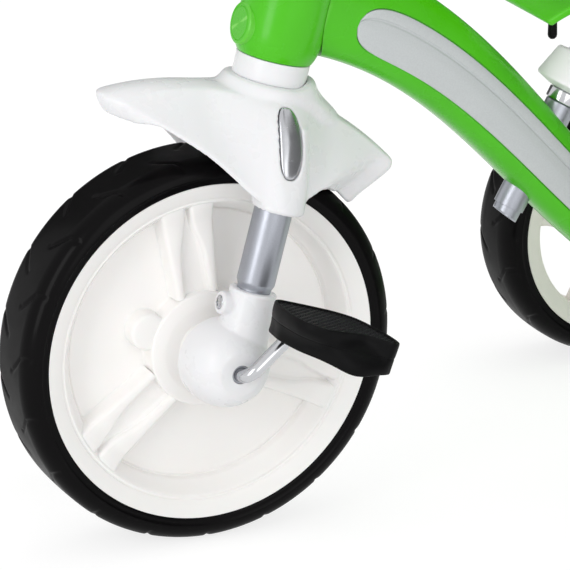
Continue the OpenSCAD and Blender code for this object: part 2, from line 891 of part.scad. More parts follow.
// Domed end of a fork leg, with the tube's socket and the crank's bearing
module dropout(side) {
  color(white)
    steered()
      mirror([0, side < 0 ? 1 : 0, 0])
        difference() {
          union() {
            hull() {
              translate([axle_offset, dome_base, 0])
                rotate([-90, 0, 0])
                  cylinder(r = dropout_r, h = dome_base_t, $fn = hull_fn);
              translate([axle_offset, dropout_face - dome_base_t / 2, 0])
                rotate([-90, 0, 0])
                  cylinder(r = dropout_r * dome_tip_share, h = dome_base_t / 2, $fn = hull_fn);
              translate([0, fork_y, 0])
                cylinder(r = socket_r, h = screw_boss_h, $fn = hull_fn);
            }
            translate([0, fork_y, 0])
              cylinder(r = socket_r, h = socket_h);
            translate([0, fork_y, screw_boss_h])
              rotate([0, 90, 0])
                cylinder(r = screw_boss_r, h = screw_boss_reach);
          }
          translate([0, fork_y, tube_foot_h])
            cylinder(r = swage_r + fit_gap, h = socket_h);
          translate([axle_offset, 0, 0])
            rotate([-90, 0, 0])
              cylinder(r = crank_bush_r + fit_gap, h = dropout_face + over);
          translate([0, fork_y, screw_boss_h])
            rotate([0, 90, 0])
              cylinder(r = screw_shank_r + fit_gap, h = screw_boss_reach + over);
          translate([screw_boss_reach - screw_head_t / 2, fork_y, screw_boss_h])
            rotate([0, 90, 0])
              cylinder(r = screw_head_r + fit_gap, h = screw_boss_reach);
        }
}

module dropout_screws() {
  shank = screw_boss_reach - screw_head_t / 2 - swage_r - face_gap;
  color(silver)
    steered()
      for (side = [-1, 1])
        translate([screw_boss_reach - screw_head_t / 2, side * fork_y, screw_boss_h])
          rotate([0, 90, 0]) {
            cylinder(r = screw_head_r, h = screw_head_t);
            translate([0, 0, -shank])
              cylinder(r = screw_shank_r, h = shank + fit_gap);
          }
}

module crank_bush(side) {
  color(panel_grey)
    steered()
      translate([axle_offset, side * dome_base, 0])
        rotate([-side * 90, 0, 0])
          ring(crank_bush_r, crank_r + run_gap, dropout_face - dome_base);
}

// Mudguard sheet: stations run from the rear edge to the front edge

function guard_reach(t) = t < 0 ? guard_rear : guard_front;
function guard_bow(t) = t < 0 ? rear_bow : front_bow;
function guard_drop(t) = t < 0 ? guard_rear_drop : guard_front_drop;
function guard_top(t) =
  guard_h - guard_drop(t) * pow(abs(t), t < 0 ? rear_drop_power : front_drop_power);
function skirt_low(t) =
  mix(skirt_h, guard_h - guard_drop(t) - 2 * roof_crown, pow(sin(90 * abs(t)), skirt_power));
function skirt_y(t) = mix(guard_half, tip_half, pow(abs(t), skirt_round_power));
function spine_y(t) = mix(spine_half, tip_half - guard_wall, pow(abs(t), spine_round_power));

function guard_point(t, v) =
  let (q = abs(v), k = max(0, (q - roof_share) / (1 - roof_share)), side = v < 0 ? -1 : 1)
  let (roof = min(q / roof_share, 1))
  let (out = mix(spine_y(t), skirt_y(t), pow(k, 1 + skirt_hollow_share)))
  let (y = q < roof_share ? roof * spine_y(t) : out)
  let (fall = guard_top(t) - roof_crown - skirt_low(t))
  let (z = guard_top(t) - roof_crown * roof * roof - fall * pow(k, 1 - skirt_hollow_share))
  [t * (guard_reach(t) - guard_bow(t) * q * q), side * y, z];

// The lip turns down and back under the edge of the sheet
function guard_lip(t, v, k) =
  let (p = guard_point(t, v), edge = max(0, (abs(v) - roof_share) / (1 - roof_share)))
  let (drop = (t < 0 ? rear_lip : front_lip) * k * (1 - edge * lip_end_share))
  p + [-t * drop * lip_rake_share * k, 0, -drop];

module mudguard_sheet() {
  side = guard_col_shares;
  cols = concat([for (j = [len(side) - 1 : -1 : 0]) -side[j]], [0], side);
  rows = concat(
    [for (k = lip_shares) [for (v = cols) guard_lip(-1, v, k)]],
    [for (i = [-guard_half_rows : guard_half_rows])
      [for (v = cols) guard_point(i / guard_half_rows, v)]],
    [for (k = [len(lip_shares) - 1 : -1 : 0]) [for (v = cols) guard_lip(1, v, lip_shares[k])]]
  );
  shell(rows, guard_wall);
}

// Long round-ended block square to the pillar's leaning face
module pillar_pocket(side, grow, from, to) {
  straight = insert_l - insert_w;
  translate([0, side * insert_y, insert_h])
    rotate([-side * (90 - insert_tilt), 0, 0])
      translate([0, 0, from]) {
        for (end = [-1, 1])
          translate([0, end * straight / 2, 0])
            cylinder(r = insert_w / 2 + grow, h = to - from);
        translate([-insert_w / 2 - grow, -straight / 2, 0])
          cube([insert_w + 2 * grow, straight, to - from]);
      }
}

// Room that the turning tyre needs under the mudguard
module wheel_well() {
  side = front_w / 2 + well_gap;
  half = swapped(arc(front_tread, front_r - shoulder_drop, side - front_tread,
                           shoulder_drop + well_gap, 0, 90));
  translate([axle_offset, 0, 0])
    rotate([-90, 0, 0])
      rotate_extrude()
        polygon(concat([[0, side]], half, mirrored(half), [[0, -side]]));
}

module mudguard() {
  color(white)
    steered()
      difference() {
        union() {
          mudguard_sheet();
          rotate_extrude()
            polygon(concat(
              [[0, collar_h - neck_drop], [neck_r_out + neck_flare, collar_h - neck_drop]],
              arc(neck_r_out + neck_flare, collar_h, neck_flare, neck_drop - fit_gap, 270, 180),
              [[0, collar_h]]
            ));
          for (side = [-1, 1])
            hull() {
              translate([0, side * fork_y, skirt_h])
                cylinder(r = pillar_r, h = guard_wall, $fn = hull_fn);
              for (end = [-1, 1])
                translate([end * pillar_spread, side * pillar_lean_y, pillar_top_h])
                  sphere(r = pillar_top_r, $fn = hull_fn);
            }
        }
        wheel_well();
        crown_arch(face_gap);
        for (side = [-1, 1])
          translate([0, side * fork_y, 0])
            cylinder(r = fork_tube_r + face_gap, h = fork_top_h + face_gap);
        cylinder(r = steerer_r + face_gap, h = collar_h + over);
        for (side = [-1, 1])
          pillar_pocket(side, fit_gap, -insert_sink, insert_l);
      }
}

module pillar_insert(side) {
  color(silver)
    steered()
      pillar_pocket(side, -face_gap, -insert_sink, insert_t - insert_sink);
}

module fork_collar() {
  color(white)
    steered()
      difference() {
        translate([0, 0, collar_h + fit_gap])
          cylinder(r1 = collar_r, r2 = collar_r + collar_flare, h = collar_t - fit_gap);
        cylinder(r = steerer_r + face_gap, h = collar_h + collar_t + over);
      }
}

// Barrel-shaped head tube with a plain round boss on its front
module head_tube() {
  belly = head_l / 2;
  color(green)
    steered()
      translate([0, 0, head_h])
        difference() {
          union() {
            rotate_extrude()
              polygon(concat(
                [[0, 0]],
                [for (i = [0 : 4 * arc_steps])
                  let (t = i / arc_steps / 2 - 1)
                  [mix(head_mid_r, head_end_r, pow(abs(t), head_power)), belly + t * belly]],
                [[0, head_l]]
              ));
            translate([0, 0, head_boss_h])
              rotate([0, 90, 0])
                cylinder(r = head_boss_r, h = head_mid_r + head_boss_proud);
          }
          translate([0, 0, -over])
            cylinder(r = head_bore_r, h = head_l + 2 * over);
        }
}

module head_bush(z) {
  color(black)
    steered()
      translate([0, 0, z])
        ring(head_bore_r - fit_gap, steerer_r + run_gap, head_bush_l);
}

module stem() {
  foot = head_top_h + stem_foot_gap;
  color(white)
    steered()
      difference() {
        union() {
          translate([0, 0, foot])
            cylinder(r1 = collar_r, r2 = stem_neck_r, h = bar_h - foot);
          translate([stem_reach, -stem_clamp_half, bar_h])
            rotate([-90, 0, 0])
              cylinder(r = stem_clamp_r, h = 2 * stem_clamp_half);
        }
        translate([0, 0, foot - over])
          cylinder(r = steerer_r + fit_gap, h = bar_h - stem_clamp_r - foot + over);
        translate([stem_reach, -stem_clamp_half - over, bar_h])
          rotate([-90, 0, 0])
            cylinder(r = bar_r + fit_gap, h = 2 * (stem_clamp_half + over));
      }
}

// Round cover over the clamp bolt on the front of the stem
module stem_cap() {
  color(panel_grey)
    steered()
      translate([stem_reach, 0, bar_h])
        rotate([0, 90, 0])
          difference() {
            cylinder(r1 = stem_cap_r, r2 = stem_cap_r - stem_cap_t / 2, h = stem_clamp_r + stem_cap_t);
            rotate([90, 0, 0])
              cylinder(r = stem_clamp_r + fit_gap, h = 2 * stem_clamp_half, center = true);
          }
}

// Handlebar's middle line in its own plane, as [rise, sideways, heading]
function bar_half_path() = concat(
  [for (i = [0 : arc_steps])
    let (a = bar_rise_turn * i / arc_steps)
    [bar_bend * (1 - cos(a)), bar_mid + bar_bend * sin(a), a]],
  [for (i = [0 : arc_steps])
    let (a = bar_rise_turn * (1 - i / arc_steps))
    [bar_end_x - bar_bend * (1 - cos(a)), bar_end_y - bar_bend * sin(a), a]],
  [[bar_end_x, bar_end_y + bar_end, 0]]
);
function bar_path() =
  let (half = bar_half_path())
  concat([for (i = [len(half) - 1 : -1 : 0]) [half[i][0], -half[i][1], -half[i][2]]], half);

// A bent tube along a flat path
module pipe_along(path, r, wall) {
  loop = [for (j = [0 : tube_sides - 1]) 360 * j / tube_sides];
  count = len(path) * tube_sides;
  last = count - tube_sides;
  points = [
    for (size = [r, r - wall]) for (p = path) for (a = loop)
      [p[0] + size * cos(a) * cos(p[2]), p[1] - size * cos(a) * sin(p[2]), size * sin(a)]
  ];
  faces = [
    for (i = [0 : len(path) - 2]) for (j = [0 : tube_sides - 1])
      let (a = i * tube_sides + j, b = i * tube_sides + (j + 1) % tube_sides)
        each [[a, a + tube_sides, b + tube_sides], [a, b + tube_sides, b],
              [count + a, count + b + tube_sides, count + a + tube_sides],
              [count + a, count + b, count + b + tube_sides]],
    for (j = [0 : tube_sides - 1])
      let (a = j, b = (j + 1) % tube_sides)
        each [[a, b, count + b], [a, count + b, count + a],
              [last + a, count + last + b, last + b], [last + a, count + last + a, count + last + b]]
  ];
  polyhedron(points, faces);
}

module on_bar(side) {
  steered()
    translate([stem_reach, 0, bar_h])
      rotate([0, -90 - bar_lean, 0])
        mirror([0, side < 0 ? 1 : 0, 0])
          children();
}

module handlebar() {
  color(silver)
    on_bar(1)
      pipe_along(bar_path(), bar_r, bar_wall);
}

module grip(side) {
  color(black)
    on_bar(side)
      translate([bar_end_x, bar_end_y + bar_end - grip_l, 0])
        rotate([-90, 0, 0])
          difference() {
            rotate_extrude()
              polygon(concat(
                [[0, 0], [grip_guard_r, 0], [grip_guard_r, grip_guard_t], [grip_r, 2 * grip_guard_t]],
                arc(0, grip_l, grip_r, grip_end_t, 0, 90)
              ));
            translate([0, 0, -over])
              cylinder(r = bar_r + fit_gap, h = grip_l + over + fit_gap);
          }
}

// Main beam: a cubic curve in the middle plane, with a rounded section that tapers

function beam_ends() = [
  [front_x - beam_start_back, beam_start_h],
  [front_x - beam_start_back - beam_head_pull * cos(beam_head_slope),
   beam_start_h - beam_head_pull * sin(beam_head_slope)],
  [rear_x - beam_tail + beam_tail_pull * cos(beam_tail_slope),
   rear_r + beam_tail_pull * sin(beam_tail_slope)],
  [rear_x - beam_tail, rear_r]
];
function beam_mid(t) =
  let (p = beam_ends(), s = 1 - t)
  s * s * s * p[0] + 3 * s * s * t * p[1] + 3 * s * t * t * p[2] + t * t * t * p[3];
function beam_along(t) =
  let (p = beam_ends(), s = 1 - t)
  unit(s * s * (p[1] - p[0]) + 2 * s * t * (p[2] - p[1]) + t * t * (p[3] - p[2]));
function beam_depth(t) =
  let (s = 1 - t)
  s * s * beam_depth_head + 2 * s * t * beam_depth_mid + t * t * beam_depth_tail;
function superround(c) = sign(c) * pow(abs(c), 2 / beam_squareness);

// A point of the beam's side: across is out of the middle plane, up is square to the curve
function beam_point(t, across, up) =
  let (m = beam_mid(t), d = beam_along(t))
  [m[0] + d[1] * up, across, m[1] - d[0] * up];
function beam_ring(t) = [
  for (j = [0 : beam_sides - 1])
    let (a = 360 * (j + 0.5) / beam_sides)
    beam_point(t, superround(cos(a)) * beam_w / 2, superround(sin(a)) * beam_depth(t) / 2)
];

module beam_body() {
  skin([for (i = [0 : beam_steps]) beam_ring(i / beam_steps)]);
}

// Band along the beam's left side, between two depths out of the middle plane
module beam_band(grow, from, to) {
  steps = beam_steps;
  skin([
    for (i = [0 : steps])
      let (t = mix(panel_start_share, panel_end_share, i / steps))
      let (taper = sqrt(max(0, 1 - pow(abs(2 * i / steps - 1), panel_end_power))))
      let (half = (panel_half_share * beam_depth(t)) * max(taper, panel_tip_share) + grow)
      let (mid = panel_mid_share * beam_depth(t))
      [beam_point(t, from, mid - half), beam_point(t, to, mid - half),
       beam_point(t, to + panel_crease, mid), beam_point(t, to, mid + half),
       beam_point(t, from, mid + half)]
  ]);
}
module main_beam() {
  color(green)
    difference() {
      beam_body();
      for (side = [0, 1])
        mirror([0, side, 0])
          beam_band(panel_gap, beam_w / 2 - panel_recess, beam_w / 2 + over);
      steered()
        translate([0, 0, head_h - over])
          cylinder(r = head_mid_r + face_gap, h = head_l + 2 * over);
      on_post()
        cylinder(r = seat_tube_r + fit_gap, h = seat_tube_l + over);
      on_axle(rear_x, -beam_w, rear_r)
        cylinder(r = axle_tube_r + fit_gap, h = 2 * beam_w);
      on_push()
        cylinder(r = push_r + fit_gap, h = push_lower_l);
    }
}

module side_panel(side) {
  color(panel_grey)
    mirror([0, side < 0 ? 1 : 0, 0])
      beam_band(0, beam_w / 2 - panel_recess + fit_gap, beam_w / 2 - panel_crease);
}

// Seat

module seat_tube() {
  color(silver)
    on_post()
      ring(seat_tube_r, post_r + run_gap, seat_tube_l);
}

module seat_clamp_ring() {
  color(silver)
    on_post()
      translate([0, 0, seat_tube_l + fit_gap])
        ring(ring_r, post_r + run_gap, ring_t);
}

module seat_post() {
  color(silver)
    on_post()
      translate([0, 0, -post_below])
        pipe(post_r, post_wall, post_below + post_top - post_r * tan(post_lean) - face_gap);
}

// Drum on the post, with a neck up to the flange under the seat
module seat_bracket() {
  drum_z = seat_tube_l + ring_t + face_gap + drum_skirt;
  color(white)
    difference() {
      union() {
        on_post()
          rotate_extrude()
            polygon([
              [0, drum_z - drum_skirt], [ring_r, drum_z - drum_skirt], [drum_r, drum_z],
              [drum_r * drum_top_share, drum_z + drum_t], [neck_r, drum_z + drum_t],
              [neck_r, post_top], [0, post_top]
            ]);
        translate([flange_x - flange_l / 2, -flange_w / 2, seat_h - flange_t])
          cube([flange_l, flange_w, flange_t]);
        for (side = [0, 1])
          mirror([0, side, 0])
            translate([lever_x, lever_half + lever_ear_t + face_gap, lever_z])
              rotate([90, 0, 0]) {
                cylinder(r = lever_ear_r, h = lever_ear_t);
                translate([-lever_ear_r, 0, 0])
                  cube([2 * lever_ear_r, lever_pivot_drop - flange_t / 2, lever_ear_t]);
              }
      }
      on_post()
        cylinder(r = post_r + fit_gap, h = post_top - post_r * tan(post_lean));
      for (p = seat_screw_places())
        translate([p[0], p[1], seat_h - flange_t - over])
          cylinder(r = seat_screw_r + fit_gap, h = flange_t + 2 * over);
      translate([lever_x, 0, lever_z])
        rotate([90, 0, 0])
          cylinder(r = lever_pin_r + run_gap, h = 4 * (lever_half + lever_ear_t), center = true);
    }
}

function seat_screw_places() = [
  for (sx = [-1, 1]) for (sy = [-1, 1])
    [flange_x + sx * (flange_l / 2 - seat_screw_inset), sy * (flange_w / 2 - seat_screw_inset)]
];

module seat_screws() {
  color(silver)
    for (p = seat_screw_places())
      translate([p[0], p[1], seat_h - flange_t - seat_screw_head_t]) {
        cylinder(r = seat_screw_head_r, h = seat_screw_head_t);
        cylinder(r = seat_screw_r, h = seat_screw_head_t + flange_t + seat_wall / 2);
      }
}

// Trigger that frees the seat post, on its own cross pin
module seat_lever() {
  color(black)
    translate([lever_x, 0, lever_z]) {
      rotate([90, 0, 0])
        cylinder(r = lever_pin_r, h = 2 * (lever_half + lever_ear_t), center = true);
      rotate([90, 0, 0])
        cylinder(r = lever_barrel_r, h = 2 * lever_half, center = true);
      translate([0, 0, -lever_drop])
        cylinder(r = lever_r, h = lever_drop);
      translate([0, 0, -lever_drop])
        sphere(r = lever_r);
    }
}

// Seat shell: the profile runs from the nose, along the pan and up the back

function seat_profile(t) =
  let (nose = seat_nose_r * seat_nose_turn * PI / 180, pan = seat_l, turn = 90 - back_lean)
  let (bend = seat_bend_r * turn * PI / 180, back = back_h - seat_bend_r)
  let (total = nose + pan + bend + back, s = t * total)
  s < nose
    ? let (a = seat_nose_turn * (1 - s / nose))
      [seat_front_x + seat_nose_r * sin(a), seat_h - seat_nose_r * (1 - cos(a)), 90 - a, 0]
  : s < nose + pan
    ? [seat_front_x - (s - nose), seat_h, 90, 0]
  : s < nose + pan + bend
    ? let (a = (s - nose - pan) / seat_bend_r * 180 / PI)
      [seat_front_x - pan - seat_bend_r * sin(a), seat_h + seat_bend_r * (1 - cos(a)), 90 + a, a / turn]
  : let (k = s - nose - pan - bend)
    [seat_front_x - pan - seat_bend_r * sin(turn) - k * cos(turn),
     seat_h + seat_bend_r * (1 - cos(turn)) + k * sin(turn), 90 + turn, 1];

function seat_half(t) =
  let (front = min(1, t / seat_front_run_share))
  let (top = max(0, (t - seat_top_run_share) / (1 - seat_top_run_share)))
  seat_w / 2 * mix(seat_front_share, 1, sin(90 * front)) * mix(1, seat_top_share, top * top);

function seat_point(t, v) =
  let (p = seat_profile(t), q = max(0, (abs(v) - seat_flat_share) / (1 - seat_flat_share)))
  let (side = mix(seat_bolster, seat_back_bolster, p[3]) * min(1, t / seat_rise_run_share))
  let (top = max(0, (t - seat_top_run_share) / (1 - seat_top_run_share)))
  let (rise = side * q * q * mix(1, seat_top_rise_share, top))
  let (turn = p[2] - 90)
  [p[0] + rise * sin(turn), v * seat_half(t), p[1] + rise * cos(turn)];

module seat_shell() {
  cols = [for (j = [-seat_cols : seat_cols]) j / seat_cols];
  color(green)
    difference() {
      shell([for (i = [0 : seat_rows]) [for (v = cols) seat_point(i / seat_rows, v)]], seat_wall);
      for (p = seat_screw_places())
        translate([p[0], p[1], seat_h - over])
          cylinder(r = seat_screw_r + fit_gap, h = over + seat_wall / 2 + fit_gap);
    }
}

// Push bar

module push_socket() {
  color(white)
    difference() {
      on_push()
        cylinder(r1 = push_socket_r, r2 = push_socket_r - sleeve_taper,
                 h = push_seat_depth + push_socket_t);
      on_push()
        translate([0, 0, -over])
          cylinder(r = push_r + fit_gap, h = push_lower_l);
      beam_body();
    }
}

module push_tube_lower() {
  color(silver)
    on_push()
      difference() {
        pipe(push_r, push_wall, push_lower_l);
        translate([0, 0, push_lower_l - button_from_top])
          rotate([0, 90, 0])
            cylinder(r = button_r + face_gap, h = push_r + over);
      }
}

module push_lock_collar() {
  color(black)
    on_push()
      translate([0, 0, push_lower_l - lock_t])
        difference() {
          cylinder(r1 = lock_r - sleeve_taper, r2 = lock_r, h = lock_t);
          translate([0, 0, -over])
            cylinder(r = push_r + fit_gap, h = lock_t + 2 * over);
          translate([0, 0, lock_t - button_from_top])
            rotate([0, 90, 0])
              cylinder(r = button_r + face_gap, h = lock_r + over);
        }
}

module push_lock_button() {
  tip = push_upper_r + button_travel + face_gap;
  color(green)
    on_push()
      translate([tip, 0, push_lower_l - button_from_top])
        rotate([0, 90, 0])
          cylinder(r = button_r, h = lock_r + button_cap_t - tip);
}

module push_tube_upper() {
  color(silver)
    on_push()
      translate([0, 0, push_lower_l - push_overlap])
        pipe(push_upper_r, push_wall, push_l - cross_r - tee_web - push_lower_l + push_overlap);
}

module push_tee() {
  color(black)
    on_push()
      difference() {
        union() {
          translate([0, 0, push_l - tee_drop])
            cylinder(r = push_r + tee_web, h = tee_drop);
          translate([0, -tee_half, push_l])
            rotate([-90, 0, 0])
              cylinder(r = tee_r, h = 2 * tee_half);
        }
        translate([0, 0, push_l - tee_drop - over])
          cylinder(r = push_upper_r + fit_gap, h = tee_drop - cross_r - tee_web + over);
        translate([0, -tee_half - over, push_l])
          rotate([-90, 0, 0])
            cylinder(r = cross_r + fit_gap, h = 2 * (tee_half + over));
      }
}

module push_cross_tube() {
  color(silver)
    on_push()
      translate([0, -cross_half, push_l])
        rotate([-90, 0, 0])
          pipe(cross_r, push_wall, 2 * cross_half);
}

// Foam sleeve with a rolled closed end
module push_grip(side) {
  l = cross_half - tee_half - fit_gap;
  color(black)
    on_push()
      translate([0, side * (tee_half + fit_gap), push_l])
        rotate([-side * 90, 0, 0])
          difference() {
            rotate_extrude()
              polygon(concat(
                [[0, 0]],
                arc(foam_r - foam_end_t, foam_end_t, foam_end_t, foam_end_t, -90, 0),
                arc(foam_r - foam_end_t, l, foam_end_t, foam_end_t, 0, 90),
                [[0, l + foam_end_t]]
              ));
            translate([0, 0, -over])
              cylinder(r = cross_r + fit_gap, h = l + over + fit_gap);
          }
}

main_beam();
head_tube();
side_panel(1);  // side_panel_left
side_panel(-1);  // side_panel_right
head_bush(head_h + face_gap);  // head_bush_lower
head_bush(head_top_h - head_bush_l);  // head_bush_upper
seat_tube();
seat_clamp_ring();
rear_axle_tube();
rear_axle();
axle_plugs();
axle_nuts();
push_socket();
push_tube_lower();
push_lock_collar();
fork_crown();
steerer();
mudguard();
fork_collar();
pillar_insert(1);  // pillar_insert_left
pillar_insert(-1);  // pillar_insert_right
fork_tube(1);  // fork_tube_left
fork_tube(-1);  // fork_tube_right
dropout(1);  // dropout_left
dropout(-1);  // dropout_right
dropout_screws();
crank_bush(1);  // crank_bush_left
crank_bush(-1);  // crank_bush_right
stem();
stem_cap();
handlebar();
grip(1);  // grip_left
grip(-1);  // grip_right
front_tyre();
front_rim();
crank();
pedal(1);  // pedal_left
pedal(-1);  // pedal_right
rear_tyre(1);  // rear_tyre_left
rear_rim(1);  // rear_rim_left
rear_bush(1);  // rear_bush_left
hub_cap(1);  // hub_cap_left
rear_tyre(-1);  // rear_tyre_right
rear_rim(-1);  // rear_rim_right
rear_bush(-1);  // rear_bush_right
hub_cap(-1);  // hub_cap_right
seat_post();
seat_bracket();
seat_shell();
seat_screws();
seat_lever();
push_tube_upper();
push_tee();
push_cross_tube();
push_grip(1);  // push_grip_left
push_grip(-1);  // push_grip_right
push_lock_button();
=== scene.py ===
import math

import bmesh
import bpy
import numpy as np
from mathutils import Matrix, Vector


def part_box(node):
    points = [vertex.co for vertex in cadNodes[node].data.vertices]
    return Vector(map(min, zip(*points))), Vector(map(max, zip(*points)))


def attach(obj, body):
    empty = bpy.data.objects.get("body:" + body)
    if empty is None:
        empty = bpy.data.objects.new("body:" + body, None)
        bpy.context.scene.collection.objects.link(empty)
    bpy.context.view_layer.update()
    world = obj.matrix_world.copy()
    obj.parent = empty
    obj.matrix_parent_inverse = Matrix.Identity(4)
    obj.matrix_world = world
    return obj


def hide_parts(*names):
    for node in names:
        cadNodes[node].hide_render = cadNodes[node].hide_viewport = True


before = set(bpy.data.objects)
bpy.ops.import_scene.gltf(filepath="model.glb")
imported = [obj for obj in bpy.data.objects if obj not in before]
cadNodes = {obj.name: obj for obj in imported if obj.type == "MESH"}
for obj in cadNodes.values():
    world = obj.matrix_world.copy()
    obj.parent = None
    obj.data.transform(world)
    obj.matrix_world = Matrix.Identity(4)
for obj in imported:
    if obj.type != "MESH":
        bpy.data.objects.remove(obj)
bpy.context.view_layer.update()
scene = bpy.context.scene
print("frame loaded:", len(cadNodes), "CAD nodes")

mm = 0.001
tiny = 1e-9
bothSides = ((1, "left"), (-1, "right"))
few, some, many = 48, 60, 96  # sides of a small, a middling and a large round


# frames of the trike, in millimetres

def move(x, y, z):
    return Matrix.Translation((x, y, z))


def turn(angle, axis):
    return Matrix.Rotation(math.radians(angle), 4, axis)


def flipY(side):
    return Matrix.Diagonal((1, side, 1, 1))


def flipZ(side):
    return Matrix.Diagonal((1, 1, side, 1))


layout = {
    "frontX": 250.292, "frontR": 130, "rake": 14.8, "axleOffset": 5.8,
    "rearX": -165.708, "rearR": 98, "rearY": 200.7,
    "postBack": 227, "postFoot": 191, "postLean": 29.5,
    "pushBack": 392, "pushFoot": 112, "pushLean": 15,
    "stemReach": 8, "barHeight": 336, "barLean": 22,
    "seatHeight": 342,
}
frontX, frontR = layout["frontX"], layout["frontR"]


def onAxle(x, y, z):
    return move(x, y, z) @ turn(-90, "X")


def rearAxle(side):
    return onAxle(layout["rearX"], side * layout["rearY"], layout["rearR"])


frontAxle = onAxle(frontX, 0, frontR)
steered = (move(frontX, 0, frontR) @ turn(-layout["rake"], "Y")
           @ move(-layout["axleOffset"], 0, 0))
onPost = move(frontX - layout["postBack"], 0, layout["postFoot"]) @ turn(-layout["postLean"], "Y")
onPush = move(frontX - layout["pushBack"], 0, layout["pushFoot"]) @ turn(-layout["pushLean"], "Y")
onStem = steered @ move(layout["stemReach"], 0, layout["barHeight"])
onBar = onStem @ turn(-90 - layout["barLean"], "Y")


# mesh helpers: a shape is a pair of points and faces

def mix(a, b, t):
    return a + (b - a) * t


def smooth(t):
    t = min(1, max(0, t))
    return t * t * (3 - 2 * t)


def eased(values, passes):
    for _ in range(passes):
        values[1:-1] = (values[:-2] + 2 * values[1:-1] + values[2:]) / 4
    return values


def signedPower(x, power):
    return math.copysign(abs(x) ** power, x)


def carry(matrix, points):
    m = np.array(matrix)
    return np.asarray(points, float) @ m[:3, :3].T + m[:3, 3]


def placed(matrix, shape):
    points, faces = shape
    return carry(matrix, points), faces


def joined(*shapes):
    points, faces, base = [], [], 0
    for p, f in shapes:
        points.append(np.asarray(p, float))
        faces += [tuple(i + base for i in face) for face in f]
        base += len(p)
    return np.vstack(points), faces


def unit(v):
    return v / np.maximum(np.linalg.norm(v, axis=-1, keepdims=True), tiny)


def around(count):
    return np.linspace(0, 2 * math.pi, count, endpoint=False)


def ringAt(r, a, z):
    return np.stack([r * np.cos(a), r * np.sin(a), np.full(len(a), z)], 1)


def atLevel(loop, z):
    return np.column_stack([loop, np.full(len(loop), z)])


def mirrored(profile):
    return [(r, -z) for r, z in reversed(profile)]


def skin(rings, wrap=False):
    rings = np.asarray(rings, float)
    n, m = rings.shape[:2]
    points, faces = rings.reshape(-1, 3), []
    for i in range(n if wrap else n - 1):
        a, b = i * m, ((i + 1) % n) * m
        faces += [(a + j, a + (j + 1) % m, b + (j + 1) % m, b + j) for j in range(m)]
    if not wrap:
        c, last = len(points), (n - 1) * m
        points = np.vstack([points, rings[0].mean(0), rings[-1].mean(0)])
        faces += [(c, (j + 1) % m, j) for j in range(m)]
        faces += [(c + 1, last + j, last + (j + 1) % m) for j in range(m)]
    return points, faces


def lathe(profile, matrix, count=72, wrap=False):
    a = around(count)
    return placed(matrix, skin([ringAt(r, a, z) for r, z in profile], wrap))


def rounded(points, radius, closed=False, steps=4):
    most = 0.45  # of a side, for one corner
    pts, out = [Vector(p) for p in points], []
    for i, p in enumerate(pts):
        if not closed and i in (0, len(pts) - 1):
            out.append(tuple(p))
            continue
        a, b = pts[i - 1] - p, pts[(i + 1) % len(pts)] - p
        cut = min(radius, most * a.length, most * b.length)
        s, e = p + a.normalized() * cut, p + b.normalized() * cut
        for k in range(steps + 1):
            t = k / steps
            out.append(tuple(s * (1 - t) ** 2 + p * (2 * t * (1 - t)) + e * t * t))
    return out


def turned(profile, edge, matrix, count=72, ring=True, steps=4):
    # an outline and the radius of its corners, turned to an open ring or to a solid from its axis
    return lathe(rounded(profile, edge, ring, steps), matrix, count, wrap=ring)


def twinned(profile, edge, matrix, count):
    # a ring turned from half an outline and its mirror image
    half = rounded(profile, edge, steps=3)
    return lathe(half + mirrored(half), matrix, count, wrap=True)


def arc(cx, cy, radius, a, b, steps=10):
    t = np.radians(np.linspace(a, b, steps + 1))
    return [(cx + radius * math.cos(k), cy + radius * math.sin(k)) for k in t]


def inset(loop, depth):
    p = np.asarray(loop, float)
    along = unit(unit(np.roll(p, -1, 0) - p) + unit(p - np.roll(p, 1, 0)))
    return p + depth * np.stack([-along[:, 1], along[:, 0]], 1)


def resampled(loop, step):
    p = np.asarray(list(loop) + [loop[0]], float)
    run = np.concatenate([[0], np.cumsum(np.linalg.norm(np.diff(p, axis=0), axis=1))])
    s = np.linspace(0, run[-1], max(12, int(run[-1] / step)), endpoint=False)
    return np.stack([np.interp(s, run, p[:, 0]), np.interp(s, run, p[:, 1])], 1)


def slab(loop, low, high, edge, matrix):
    # a plate with rounded rims: each step is how far in from the outline, and how high
    turnIn = [k * math.pi / 8 for k in range(5)]
    foot = [(edge * (1 - math.sin(a)), low + edge * (1 - math.cos(a))) for a in turnIn]
    head = [(d, high + low - z) for d, z in reversed(foot)]
    return placed(matrix, skin([atLevel(inset(loop, d), z) for d, z in foot + head]))


def sweep(path, radius, sides=40):
    p = np.asarray(path, float)
    along = unit(np.gradient(p, axis=0))
    askew = (0.31, 0.87, 0.38)  # lies along none of the tubes
    side = np.cross(along[0], askew)
    a = around(sides)
    rings = []
    for q, d in zip(p, along):
        side = side - d * side.dot(d)
        side /= np.linalg.norm(side)
        up = np.cross(d, side)
        rings.append(q + radius * (np.outer(np.cos(a), side) + np.outer(np.sin(a), up)))
    return skin(rings)


def roundRect(length, width, corner):
    x, y = length / 2 - corner, width / 2 - corner
    return (arc(x, y, corner, 0, 90) + arc(-x, y, corner, 90, 180)
            + arc(-x, -y, corner, 180, 270) + arc(x, -y, corner, 270, 360))


def circle(radius, count):
    return [(radius * math.cos(t), radius * math.sin(t)) for t in around(count)]


def squircle(wide, deep, power, count=72):
    return [(wide * signedPower(x, 2 / power), deep * signedPower(y, 2 / power))
            for x, y in circle(1, count)]


def linked(name, data):
    obj = bpy.data.objects.new(name, data)
    scene.collection.objects.link(obj)
    return obj


